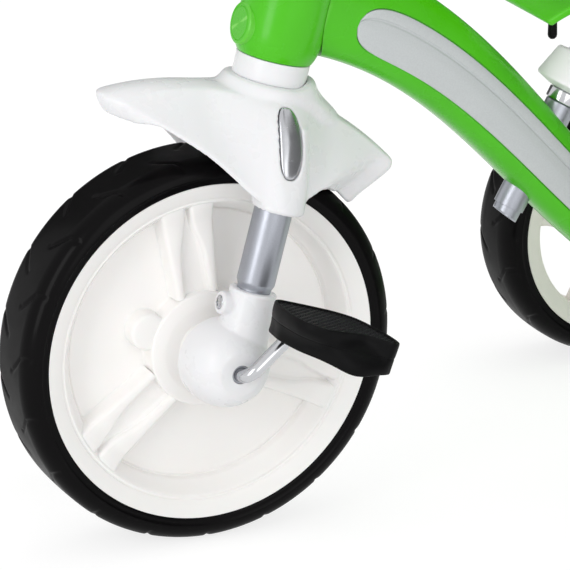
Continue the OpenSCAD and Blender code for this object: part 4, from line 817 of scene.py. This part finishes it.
def guardPoint(t, v):
    # t runs from the rear end to the front end, v from edge to edge across the roof
    g, q, side = guard, abs(v), -1 if v < 0 else 1
    end = g["rear"] if t < 0 else g["front"]
    top = g["h"] - end["drop"] * abs(t) ** end["power"]
    crown = g["crown"] * (1 - g["crownFade"] * t * t)
    tip = g["h"] - end["drop"] - end["tipFall"]
    low = mix(g["skirtH"], tip, np.interp(abs(t), edgeRun, end["rise"]))
    skirtY = mix(g["half"], g["tipHalf"], abs(t) ** g["skirtRound"])
    body = 1 - smooth(abs(t) / g["bodyReach"])
    roofY = mix(g["roofHalf"], g["roofTip"], abs(t) ** g["roofPower"]) + g["bodyHalf"] * body
    hollow = g["hollow"] - g["bodyFull"] * body
    k, roof = max(0, (q - g["roofShare"]) / (1 - g["roofShare"])), min(q / g["roofShare"], 1)
    y = roof * roofY if q < g["roofShare"] else mix(roofY, skirtY, k ** (1 + hollow))
    z = top - crown * roof * roof - (top - crown - low) * k ** (1 - hollow)
    reach = end["reach"] - end["bow"] * q * q - end["roofBow"] * roof * roof
    return np.array((t * reach, side * y, z))


def valance(sign):
    # turned-down lip: rows below the sheet's end, and two strips that wrap its corners
    end = guard["front" if sign > 0 else "rear"]
    steps = [np.array((x, 0, z)) for x, z in [(0, 0)] + end["lip"]]
    start, wrap = guard["lipFrom"], end["wrapFrom"]
    shares = [mix(1, end["lipEnd"], smooth((abs(v) - start) / (1 - start))) for v in cols]
    rows = [[guardPoint(sign, v) + step * k for v, k in zip(cols, shares)] for step in steps]
    sheets = [(rows, (sign, 0, 0))]
    run = np.linspace(wrap, 1, guard["wrapSteps"])
    fade = end["lipEnd"] * ((run - wrap) / (1 - wrap)) ** end["fade"]
    for side in (1, -1):
        strip = [[guardPoint(sign * t, side) + k * step for t, k in zip(run, fade)] for step in steps]
        sheets.append((strip, (0, side, 0)))
    return sheets


def thickened(rows, wall, out):
    top = np.asarray(rows, float)
    along, across = np.gradient(top, axis=0), np.gradient(top, axis=1)
    normal = unit(np.cross(along, across))
    if normal.mean((0, 1)).dot(out) < 0:
        normal = -normal
    n, m = top.shape[:2]
    points = np.vstack([top.reshape(-1, 3), (top - normal * wall).reshape(-1, 3)])
    base, faces = n * m, []
    for i in range(n - 1):
        for j in range(m - 1):
            a, b, c, d = i * m + j, i * m + j + 1, (i + 1) * m + j + 1, (i + 1) * m + j
            faces += [(a, b, c, d), (base + d, base + c, base + b, base + a)]
    for i in range(n - 1):
        a, b = i * m, (i + 1) * m
        faces += [(a, b, base + b, base + a), (a + m - 1, base + a + m - 1, base + b + m - 1, b + m - 1)]
    for j in range(m - 1):
        a, b = j, (n - 1) * m + j
        faces += [(a, base + a, base + a + 1, a + 1), (b, b + 1, base + b + 1, base + b)]
    return points, faces


def ovalFrame(side):
    return (steered @ move(guard["ovalX"], side * guard["ovalY"], guard["ovalH"])
            @ turn(-side * (90 - guard["ovalTilt"]), "X") @ turn(side * guard["ovalTurn"], "Z"))


def ovalLoop(grow):
    wide, deep = guard["ovalW"] / 2 + grow, guard["ovalL"] / 2 + grow
    return [(x - guard["ovalBend"] * (0.5 - (y / deep) ** 2), y)
            for x, y in squircle(wide, deep, guard["ovalSquare"], many)]


def neckShape():
    rings = []
    for z, ahead, behind, wide, rise in guard["neck"]:
        ring = []
        for c, d in circle(1, many):
            x = c * (ahead if c > 0 else behind)
            ring.append((x, d * wide, z + rise * smooth((-x - guard["neckFrom"]) / guard["neckRun"])))
        rings.append(ring)
    return skin(rings)


def pillarShape(side):
    g, rings = guard, []
    for k in np.linspace(0, 1, g["pillarSteps"]):
        y = mix(g["pillarY"], g["pillarTopY"], k ** g["pillarLean"])
        z = mix(g["pillarFoot"], g["pillarTopH"], k)
        wide, deep = mix(g["pillarR"], g["pillarTopHalf"], k), mix(g["pillarR"], g["pillarTopR"], k)
        shift = mix(g["pillarX"], g["pillarTopX"], k)
        power = mix(2, g["pillarSquare"], min(1, g["squareRate"] * k))
        rings.append([(x + shift, side * y + out, z) for x, out in squircle(wide, deep, power)])
    return skin(rings)


cols = np.linspace(-1, 1, guard["cols"])
roof = [[guardPoint(t, v) for v in cols] for t in np.linspace(-1, 1, guard["rows"])]
rear, front = valance(-1), valance(1)
sheets = [(roof, (0, 0, 1)), rear[0], front[0]] + rear[1:] + front[1:]
parts = [thickened(sheet, guard["wall"], out) for sheet, out in sheets]
parts += [neckShape(), pillarShape(1), pillarShape(-1)]
shell = meshObject("mudguardShell", joined(*[placed(steered, part) for part in parts]))
melted(shell, *guard["melt"])
well = [(0.05, guard["wellFlat"] + guard["wellSide"])]
for a in np.linspace(0, math.pi / 2, guard["wellSteps"]):
    well.append((guard["wellR"] + guard["wellRound"] * math.sin(a),
                 guard["wellFlat"] + guard["wellSide"] * math.cos(a)))
well += mirrored(well)
cuts = [lathe(well, frontAxle, guard["wellCount"]), lathe(guard["steererBore"], steered, some),
        lathe(guard["collarSeat"], steered)]
for side in (1, -1):
    cuts.append(lathe(guard["tubeBore"], steered @ move(0, side * legs["y"], 0), some))
    cuts.append(slab(ovalLoop(guard["ovalGap"]), -guard["ovalSink"], guard["ovalOver"], guard["ovalEdge"],
                     ovalFrame(side)))
cut(shell, *cuts)
melted(shell, *guard["lastMelt"])
dress(shell, "fork", "guardWhite", "mudguard", sharp=60)

plate, foot, dome = np.array(ovalLoop(-guard["plateIn"])), guard["plateSide"], guard["plateDome"]
bulge = [(math.cos(a), foot + dome * math.sin(a)) for a in np.linspace(*guard["plateTurn"])]
plate = [atLevel(plate * k, z) for k, z in guard["plateFoot"] + bulge]
for side, word in bothSides:
    piece(word + "PillarOval", placed(ovalFrame(side), skin(plate)), "fork", "polished",
          "pillar_insert_" + word)
piece("forkCollar", turned(*guard["collar"], steered, many), "fork", "guardWhite", "fork_collar")
print("mudguard made")


# head tube and main beam with its side panels

head = {
    "h": 193.4, "l": 86.6, "endR": 24.6, "midR": 29, "power": 5.8, "bore": 18.2, "edge": 0.8, "bossH": 18,
    "steps": 61, "count": 120,
    "boss": [(0.05, 20), (14.0, 20), (14.0, 28.6), (13.2, 29.5), (11.6, 29.8), (11.0, 29.4), (10.4, 29.8),
             (0.05, 29.9)],
}
profile = [(mix(head["midR"], head["endR"], abs(t) ** head["power"]), head["h"] + (t + 1) * head["l"] / 2)
           for t in np.linspace(-1, 1, head["steps"])]
profile = [(head["bore"], profile[0][1])] + profile + [(head["bore"], profile[-1][1])]
barrel = turned(profile, head["edge"], steered, head["count"], steps=2)
disc = lathe(head["boss"], steered @ move(0, 0, head["h"] + head["bossH"]) @ turn(90, "Y"))
piece("headTube", joined(barrel, disc), "frame", "greenBeam", "head_tube")

beam = {
    "startBack": 66, "startH": 355, "headSlope": 15, "headPull": 175, "tailSlope": 11, "tailPull": 174,
    "tail": 18, "depths": (71, 48, 44), "w": 46, "square": 2.7, "steps": 150, "sides": 112,
    "headRound": 1.5, "tailRound": (0.6, 2),
    "panelMid": (-0.075, 0.085), "panelHalf": 0.255, "panelFrom": 0.085, "panelTo": 0.84,
    "recess": 2.6, "gap": 1.0, "over": 3, "endPower": 16, "tipShare": 0.12,
    # across the panel: share of its half height, trim of its edge, and height over the beam's side
    "panel": [(1, 0, -2.58), (1, 0, -1.0), (1, 0.25, -0.6), (1, 0.8, -0.4), (0.62, 0, -0.15),
              (0.54, 0, -0.2), (0.5, 0, -0.75), (0.45, 0, -0.8), (0.38, 0, -0.1), (0.1, 0, 0.4),
              (-0.12, 0, 0.5), (-0.2, 0, 0.3), (-1, 0.8, -0.4), (-1, 0.25, -0.6), (-1, 0, -1.0),
              (-1, 0, -2.58)],
    "headBore": [(29.3, 191), (29.3, 281)], "postBore": [(10.55, 0), (10.55, 90)],
    "axleBore": [(15.05, -46), (15.05, 46)], "pushBore": [(12.75, 0), (12.75, 400)],
}


def beamEnds():
    b, cos, sin = beam, lambda a: math.cos(math.radians(a)), lambda a: math.sin(math.radians(a))
    x0, x3 = frontX - b["startBack"], layout["rearX"] - b["tail"]
    return [np.array(p) for p in (
        (x0, b["startH"]),
        (x0 - b["headPull"] * cos(b["headSlope"]), b["startH"] - b["headPull"] * sin(b["headSlope"])),
        (x3 + b["tailPull"] * cos(b["tailSlope"]), layout["rearR"] + b["tailPull"] * sin(b["tailSlope"])),
        (x3, layout["rearR"]))]


def beamPoint(t, across, up):
    p, s = beamEnds(), 1 - t
    m = s ** 3 * p[0] + 3 * s * s * t * p[1] + 3 * s * t * t * p[2] + t ** 3 * p[3]
    d = s * s * (p[1] - p[0]) + 2 * s * t * (p[2] - p[1]) + t * t * (p[3] - p[2])
    d = d / np.linalg.norm(d)
    return m[0] + d[1] * up, across, m[1] - d[0] * up


def beamDepth(t):
    a, b, c = beam["depths"]
    return (1 - t) ** 2 * a + 2 * (1 - t) * t * b + t * t * c


def beamRing(t, shrink=0):
    wide, high, p = beam["w"] / 2 - shrink, beamDepth(t) / 2 - shrink, 2 / beam["square"]
    return [beamPoint(t, signedPower(c, p) * wide, signedPower(s, p) * high)
            for c, s in circle(1, beam["sides"])]


def beamBand(grow, section):
    # a band along the beam; section: share of the half height, trim, distance from the middle plane
    rings = []
    for k in np.linspace(-1, 1, beam["steps"]):
        t = mix(beam["panelFrom"], beam["panelTo"], (k + 1) / 2)
        taper = math.sqrt(max(0, 1 - abs(k) ** beam["endPower"]))
        half = beam["panelHalf"] * beamDepth(t) * max(taper, beam["tipShare"])
        mid = mix(*beam["panelMid"], t) * beamDepth(t)
        rings.append([beamPoint(t, out, mid + math.copysign(max(0, half * abs(s) + grow - trim), s))
                      for s, trim, out in section])
    return skin(rings)


rings = [beamRing(0, beam["headRound"])] + [beamRing(t) for t in np.linspace(0, 1, beam["steps"])[1:-1]]
trunk = meshObject("mainBeam", skin(rings + [beamRing(1, shrink) for shrink in beam["tailRound"]]))
across = onAxle(layout["rearX"], 0, layout["rearR"])
for side in (1, -1):
    out, back = side * (beam["w"] / 2 + beam["over"]), side * (beam["w"] / 2 - beam["recess"])
    cut(trunk, beamBand(beam["gap"], [(-1, 0, back), (-1, 0, out), (1, 0, out), (1, 0, back)]))
cut(trunk, lathe(beam["headBore"], steered, many), lathe(beam["postBore"], onPost, some),
    lathe(beam["axleBore"], across, some), lathe(beam["pushBore"], onPush, some))
dress(trunk, "frame", "greenBeam", "main_beam", sharp=28)
for side, word in bothSides:
    section = [(s, trim, side * (beam["w"] / 2 + out)) for s, trim, out in beam["panel"]]
    piece(word + "SidePanel", beamBand(0, section), "frame", "greyPanel", "side_panel_" + word, sharp=25)

rearTube = {
    "half": 167.7, "tube": [(13, -167.7), (15, -167.7), (15, 167.7), (13, 167.7)], "edge": 0.7,
    "plug": [(5.05, 3), (15, 3), (15, 0), (12.98, 0), (12.98, -19), (5.05, -19)],
}
piece("rearAxleTube", turned(rearTube["tube"], rearTube["edge"], across, many), "frame", "greenBeam",
      "rear_axle_tube")
plugs = []
for side in (1, -1):
    spot = across @ flipZ(side) @ move(0, 0, rearTube["half"])
    plugs.append(turned(rearTube["plug"], rearTube["edge"], spot, many))
piece("axlePlugs", joined(*plugs), "frame", "blackPlastic", "axle_plugs")
print("beam made")


# seat tube, ring, bracket and shell

seat = {
    "tube": ([(9.26, 0), (10.5, 0), (10.5, 76.4), (9.9, 77), (9.26, 77)], 0.3),
    "post": ([(7.7, -6), (9.2, -6), (9.2, 161), (7.7, 161)], 0.35), "slant": 0.2,
    # the plug is a black disc a little way up the post's open foot: painted shade for the dark inside of
    # the open tube
    "plug": ([(0.05, -4.6), (5.2, -4.6), (6.2, -5), (7.65, -5), (7.65, -2.6), (0.05, -2.6)], 0.3),
    "ring": ([(9.26, 77.1), (11.8, 77.1), (11.8, 85), (9.26, 85)], 0.9),
    "drum": ([(0.05, 85.3), (11.8, 85.3), (14.5, 85.9), (23.4, 88.6), (24, 90.2), (18.9, 110.2),
              (17.6, 111.2), (12, 111.4), (12, 160), (0.05, 160)], 0.9),
    "flangeL": 90, "flangeW": 84, "flangeT": 6, "flangeCorner": 12, "flangeEdge": 1.2, "flangeStep": 2,
    "ear": (12, 16, 5.5), "earFrom": 4.3, "earTo": 8.3, "earEdge": 0.6, "earX": 38, "earZ": 331,
    "earStep": 1,
    "w": 250, "l": 115, "backH": 225, "backLean": 12, "wall": 5, "noseR": 34, "noseTurn": 40, "bendR": 52,
    "flatShare": 0.5, "bolster": 34, "backBolster": 30, "frontShare": 0.56, "topShare": 0.66,
    "frontRun": 0.3, "topRun": 0.6, "riseRun": 0.22, "topRise": 0.4, "frontAhead": 54, "lift": 0.05,
    "edge": 1.8, "edgeTurn": 50, "rows": 61, "cols": 41,
}


def slanted(profile, edge, ring):
    # the post's foot is cut at a slant, so its open end shows from the front
    points, faces = turned(profile, edge, Matrix(), ring=ring)
    points[:, 2] += seat["slant"] * points[:, 0] * (points[:, 2] < 0)
    return carry(onPost, points), faces


piece("seatTube", turned(*seat["tube"], onPost), "frame", "silverTube", "seat_tube")
piece("seatRing", turned(*seat["ring"], onPost), "frame", "brightSteel", "seat_clamp_ring")
piece("seatPost", slanted(*seat["post"], True), "seat", "silverTube", "seat_post")
# a black disc inside the open foot: painted shade, so the inside of the tube shows dark
piece("seatPostShadeDisc", slanted(*seat["plug"], False), "seat", "blackPlastic")

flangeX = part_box("seat_bracket")[1].x / mm - seat["flangeL"] / 2
flange = resampled(roundRect(seat["flangeL"], seat["flangeW"], seat["flangeCorner"]), seat["flangeStep"])
flange = slab(flange, layout["seatHeight"] - seat["flangeT"], layout["seatHeight"], seat["flangeEdge"],
              move(flangeX, 0, 0))
drum = turned(*seat["drum"], onPost, many, ring=False)
ear = resampled(roundRect(*seat["ear"]), seat["earStep"])
spot = onAxle(flangeX + seat["earX"], 0, seat["earZ"])
ears = [slab(ear, seat["earFrom"], seat["earTo"], seat["earEdge"], spot @ flipZ(side))
        for side in (1, -1)]
# the drum takes the brightened, less green white: painted light against the seat's shade and green bounce
piece("seatBracket", joined(drum, flange, *ears), "seat", "drumWhitePaintedLight", "seat_bracket")


def seatProfile(t, front, height):
    # along the middle of the seat: nose, pan, bend and back
    s = seat
    nose = s["noseR"] * math.radians(s["noseTurn"])
    full = math.radians(90 - s["backLean"])
    bend, back = s["bendR"] * full, s["backH"] - s["bendR"]
    run = t * (nose + s["l"] + bend + back)
    if run < nose:
        a = math.radians(s["noseTurn"]) * (1 - run / nose)
        return front + s["noseR"] * math.sin(a), height - s["noseR"] * (1 - math.cos(a)), -a, 0
    if run < nose + s["l"]:
        return front - (run - nose), height, 0, 0
    if run < nose + s["l"] + bend:
        a = (run - nose - s["l"]) / s["bendR"]
        return (front - s["l"] - s["bendR"] * math.sin(a), height + s["bendR"] * (1 - math.cos(a)),
                a, a / full)
    k = run - nose - s["l"] - bend
    return (front - s["l"] - s["bendR"] * math.sin(full) - k * math.cos(full),
            height + s["bendR"] * (1 - math.cos(full)) + k * math.sin(full), full, 1)


def seatPoint(t, v, front, height):
    s = seat
    x, z, lean, up = seatProfile(t, front, height)
    top = max(0, (t - s["topRun"]) / (1 - s["topRun"]))
    wide = (s["w"] / 2 * mix(s["frontShare"], 1, math.sin(math.pi / 2 * min(1, t / s["frontRun"])))
            * mix(1, s["topShare"], top * top))
    q = max(0, (abs(v) - s["flatShare"]) / (1 - s["flatShare"]))
    rise = mix(s["bolster"], s["backBolster"], up) * min(1, t / s["riseRun"])
    rise = rise * q * q * mix(1, s["topRise"], top)
    return x + rise * math.sin(lean), v * wide, z + rise * math.cos(lean)


front, height = flangeX + seat["frontAhead"], layout["seatHeight"] + seat["lift"]
n, m = seat["rows"], seat["cols"]
points = [seatPoint(t, v, front, height) for t in np.linspace(0, 1, n) for v in np.linspace(-1, 1, m)]
corners = [i * m + j for i in range(n - 1) for j in range(m - 1)]
shell = meshObject("seatShell", (points, [(k, k + 1, k + m + 1, k + m) for k in corners]))
normal = shell.data.polygons[(n // 6) * (m - 1) + m // 2].normal  # of the pan, to see which way is up
wall = shell.modifiers.new("wall", "SOLIDIFY")
wall.thickness, wall.offset = seat["wall"] * mm, 1 if normal.z > 0 else -1
bevel = shell.modifiers.new("edge", "BEVEL")
bevel.width, bevel.segments, bevel.limit_method = seat["edge"] * mm, 3, "ANGLE"
bevel.angle_limit = math.radians(seat["edgeTurn"])
dress(applied(shell), "seat", "greenMoulding", "seat_shell", sharp=40)

trigger = {
    "x": 38, "z": 330,
    "rod": [(0.05, -27.2), (1.6, -26.8), (2.8, -25.6), (3.2, -24), (3, -16), (3.2, 0), (0.05, 0)],
    "barrel": ([(0.05, -4), (4.5, -4), (4.5, 4), (0.05, 4)], 0.6),
    "pin": ([(0.05, -8), (2, -8), (2, 8), (0.05, 8)], 0.3),
}
hinge = move(flangeX + trigger["x"], 0, trigger["z"])
parts = [lathe(trigger["rod"], hinge, few)]
for part in ("barrel", "pin"):
    parts.append(turned(*trigger[part], hinge @ turn(-90, "X"), few, ring=False))
piece("seatTrigger", joined(*parts), "seat_trigger", "blackPlastic", "seat_lever")
print("seat made")


# handlebar with its stem and ribbed grips

bars = {
    "r": 11, "mid": 42, "rise": 46, "riseTurn": 38, "bend": 42, "end": 104, "gripL": 100,
    "midSteps": 6, "bendSteps": 14, "endSteps": 8,
    "stem": ([(12.75, 281), (23.5, 281), (23.5, 283), (16.6, 322), (16.4, 330), (12.75, 318)], 1.2),
    "clamp": ([(11.05, -36), (18, -36), (18, 36), (11.05, 36)], 1.6),
    "gripGuard": [(0.05, 0.3), (11.05, 0.3), (20.2, 0.3), (21, 1.2), (21, 4.6), (20, 6), (16.4, 10),
                  (15, 13)],
    "ribs": 12, "ribFrom": 16, "ribPitch": 6.2, "rib": [(14.4, 0), (15, 1), (15, 3.6), (14.4, 4.6)],
    "gripEnd": [(14.8, 92), (15, 95), (14.4, 99), (12, 102.6), (8, 104.6), (0.05, 105)], "gripEdge": 0.35,
    "cap": ([(0.05, 11), (13.5, 11), (12.4, 22.4), (11.3, 23.7), (9.2, 24), (8.5, 23.4), (7.7, 23.9),
             (0.05, 24)], 0.4),
}
turnUp, bend = math.radians(bars["riseTurn"]), bars["bend"]
endX = 2 * bend * (1 - math.cos(turnUp)) + bars["rise"] * math.sin(turnUp)
endY = bars["mid"] + 2 * bend * math.sin(turnUp) + bars["rise"] * math.cos(turnUp)
path = [(0, y, 0) for y in np.linspace(0, bars["mid"], bars["midSteps"])[1:-1]]
for a in np.linspace(0, turnUp, bars["bendSteps"]):
    path.append((bend * (1 - math.cos(a)), bars["mid"] + bend * math.sin(a), 0))
for a in np.linspace(turnUp, 0, bars["bendSteps"]):
    path.append((endX - bend * (1 - math.cos(a)), endY - bend * math.sin(a), 0))
path += [(endX, endY + k, 0) for k in np.linspace(0, bars["end"], bars["endSteps"])[1:]]
path = [(x, -y, z) for x, y, z in reversed(path)] + path
piece("handlebarTube", placed(onBar, sweep(path, bars["r"], few)), "fork", "silverTube", "handlebar")

stem = turned(*bars["stem"], steered, many)
clamp = turned(*bars["clamp"], onStem @ turn(-90, "X"))
piece("stemBody", joined(stem, clamp), "fork", "guardWhite", "stem")

grip = list(bars["gripGuard"])
for k in range(bars["ribs"]):
    grip += [(r, bars["ribFrom"] + k * bars["ribPitch"] + z) for r, z in bars["rib"]]
grip += bars["gripEnd"]
for side, word in bothSides:
    spot = onBar @ flipY(side) @ move(endX, endY + bars["end"] - bars["gripL"], 0) @ turn(-90, "X")
    piece(word + "Grip", turned(grip, bars["gripEdge"], spot, ring=False, steps=2), "fork", "gripRubber",
          "grip_" + word)
cap = turned(*bars["cap"], onStem @ turn(90, "Y"), ring=False)
piece("stemCap", cap, "fork", "greyPanel", "stem_cap")
print("handlebar made")


# push bar: two tubes, a lock collar, a tee and foam grips

pusher = {
    "l": 860, "lower": ([(11.2, 0), (12.7, 0), (12.7, 400), (11.2, 400)], 0.4),
    "socket": ([(12.75, 18), (18.5, 18), (18.3, 26), (17.7, 64), (18.2, 65.5), (18.2, 68.6), (17, 70),
                (12.75, 70)], 0.8),
    "collar": ([(12.75, 354), (17.6, 354), (18.1, 356), (18.1, 360), (17.2, 361.5), (17.3, 392),
                (18.6, 394), (19, 396), (19, 399), (18.2, 400), (12.75, 400)], 0.6),
    "button": ([(0.05, 15), (6, 15), (6, 21.4), (5.2, 22.6), (3.6, 23), (2.6, 22.6), (0.05, 22.3)], 0.5),
    "buttonAt": 376, "buttonHole": [(6.35, 0), (6.35, 30)],
    "upper": [(0.05, 170), (11.15, 170), (11.15, 848), (0.05, 848)],
    "stub": ([(0.05, 812), (14.1, 812), (14.7, 813.5), (14.7, 858), (0.05, 858)], 0.6),
    "tee": ([(0.05, -30), (15, -30), (16, -28.6), (16, 28.6), (15, 30), (0.05, 30)], 0.5),
    "voxel": 0.7, "passes": 5, "keep": 0.5,
    "cross": [(0.05, -130), (10, -130), (10, 130), (0.05, 130)],
    "foamFrom": 30.1, "foamTo": 135, "foamR": 16, "foamEdge": 5,
}
atButton = onPush @ move(0, 0, pusher["buttonAt"]) @ turn(90, "Y")
tube = turned(*pusher["lower"], onPush)
piece("pushSocket", turned(*pusher["socket"], onPush, many), "frame", "guardWhite", "push_socket")
buttonHole = lathe(pusher["buttonHole"], atButton, few)
dress(cut(meshObject("lowerPushTube", tube), buttonHole), "frame", "silverTube", "push_tube_lower")
body = meshObject("pushLockCollar", turned(*pusher["collar"], onPush, many))
dress(cut(body, buttonHole), "frame", "blackPlastic", "push_lock_collar")
button = turned(*pusher["button"], atButton, few, ring=False)
piece("pushLockButton", button, "lock_button", "greenMoulding", "push_lock_button")

piece("upperPushTube", lathe(pusher["upper"], onPush), "push_bar", "silverTube", "push_tube_upper")
across = onPush @ move(0, 0, pusher["l"]) @ turn(-90, "X")
tee = joined(turned(*pusher["stub"], onPush, ring=False), turned(*pusher["tee"], across, ring=False))
tee = melted(meshObject("pushTee", tee), pusher["voxel"], pusher["passes"], pusher["keep"])
dress(tee, "push_bar", "blackPlastic", "push_tee", sharp=50)
piece("pushCrossTube", lathe(pusher["cross"], across, some), "push_bar", "silverTube", "push_cross_tube")
edge, start, end = pusher["foamEdge"], pusher["foamFrom"], pusher["foamTo"]
middle = pusher["foamR"] - edge
foam = [(0.05, start)] + arc(middle, start + edge, edge, -90, 0)
foam += arc(middle, end - edge, edge, 0, 90) + [(0.05, end)]
for side, word in bothSides:
    piece(word + "PushGrip", lathe(foam, across @ flipZ(side)), "push_bar", "gripFoam",
          "push_grip_" + word)
print("push bar made")


# studio: pale floor, soft light, camera where the photo was taken from

def whiteWhenSeen(tree):
    light = addNode(tree, "LightPath")
    seen = light.outputs["Is Camera Ray"]
    for word in ("Is Glossy Ray", "Is Transmission Ray"):
        either = addNode(tree, "Math")
        either.operation = "MAXIMUM"
        tree.links.new(seen, either.inputs[0])
        tree.links.new(light.outputs[word], either.inputs[1])
        seen = either.outputs["Value"]
    return seen


def showEither(tree, plain, seen, output):
    # plain lights the trike, seen is what the camera and reflections get
    pick = addNode(tree, "MixShader")
    tree.links.new(whiteWhenSeen(tree), pick.inputs["Fac"])
    tree.links.new(plain.outputs[0], pick.inputs[1])
    tree.links.new(seen.outputs[0], pick.inputs[2])
    tree.links.new(pick.outputs[0], addNode(tree, output).inputs["Surface"])


def sheetObject(name, wide, high, mat):
    w, h = wide / 2 / mm, high / 2 / mm
    obj = meshObject(name, ([(-w, -h, 0), (w, -h, 0), (w, h, 0), (-w, h, 0)], [(0, 1, 2, 3)]))
    obj.data.materials.append(mat)
    return obj


studio = {"world": 0.98, "floorGlow": 0.78, "floorTone": 0.9, "shadeTone": 0.3, "size": 120}
mat = newMaterial("floorPaper")
tree = mat.node_tree
tree.nodes.clear()
plain = addNode(tree, "BsdfDiffuse", {"Color": (*[studio["floorTone"]] * 3, 1)})
faint = addNode(tree, "BsdfDiffuse", {"Color": (*[studio["shadeTone"]] * 3, 1)})
glow = addNode(tree, "Emission", {"Strength": studio["floorGlow"]})
both = addNode(tree, "AddShader")
tree.links.new(faint.outputs[0], both.inputs[0])
tree.links.new(glow.outputs[0], both.inputs[1])
showEither(tree, plain, both, "OutputMaterial")
floor = sheetObject("floor", studio["size"], studio["size"], mat)

world = bpy.data.worlds.new("studio")
scene.world = world
world.use_nodes = True
tree = world.node_tree
tree.nodes.clear()
dim = addNode(tree, "Background", {"Strength": studio["world"]})
bright = addNode(tree, "Background", {"Color": (1, 1, 1, 1), "Strength": 1})
showEither(tree, dim, bright, "OutputWorld")

# cards that only show in reflections, so shiny parts get darker sides
cards = {
    "right": {"at": (-1.35, 0.67, 0.5), "facing": (0.9073, -0.4206, 0), "size": (3.0, 2.0), "tone": 0.22},
    "back": {"at": (-0.65, -1.6, 0.9), "facing": (0.4223, 0.9064, 0), "size": (4.4, 1.7), "tone": 0.08},
}
for name, card in cards.items():
    mat = newMaterial(name + "Card")
    mat.node_tree.nodes["Principled BSDF"].inputs["Base Color"].default_value = (*[card["tone"]] * 3, 1)
    sheet = sheetObject(name + "Card", *card["size"], mat)
    facing = Vector(card["facing"]).to_track_quat("Z", "Y").to_matrix().to_4x4()
    sheet.matrix_world = move(*card["at"]) @ facing
    sheet.visible_camera = sheet.visible_diffuse = False
    sheet.visible_shadow = sheet.visible_transmission = False

lamps = {
    "key": {"at": (2.26, 1.1, 0.95), "size": (0.8, 1.8), "power": 15},
    "fill": {"at": (0.2, 3.0, 1.2), "size": (2.0, 2.0), "power": 15},
    "top": {"at": (-0.4, -0.6, 3.0), "size": (2.0, 2.0), "power": 8},
}
lampsFace = Vector((0.1, 0, 0.25))
for name, lamp in lamps.items():
    data = bpy.data.lights.new(name, "AREA")
    data.shape = "RECTANGLE"
    data.energy, (data.size, data.size_y) = lamp["power"], lamp["size"]
    obj = linked(name, data)
    obj.location = lamp["at"]
    obj.rotation_euler = (lampsFace - obj.location).to_track_quat("-Z", "Y").to_euler()

camera = {
    "at": (1.487392, 2.7930, 1.2292), "lens": 315.79, "sensor": 36, "near": 0.05, "far": 200,
    "right": (-0.9073, 0.4206, 0.0053), "up": (-0.1335, -0.2999, 0.9446),
    "back": (0.3989, 0.8563, 0.3282),
}
data = bpy.data.cameras.new("camera")
data.lens, data.sensor_width = camera["lens"], camera["sensor"]
data.clip_start, data.clip_end = camera["near"], camera["far"]
eye = linked("camera", data)
axes = Matrix((camera["right"], camera["up"], camera["back"])).transposed()
eye.matrix_world = move(*camera["at"]) @ axes.to_4x4()
scene.camera = eye
scene.view_settings.view_transform = "Standard"

print("scene ready")
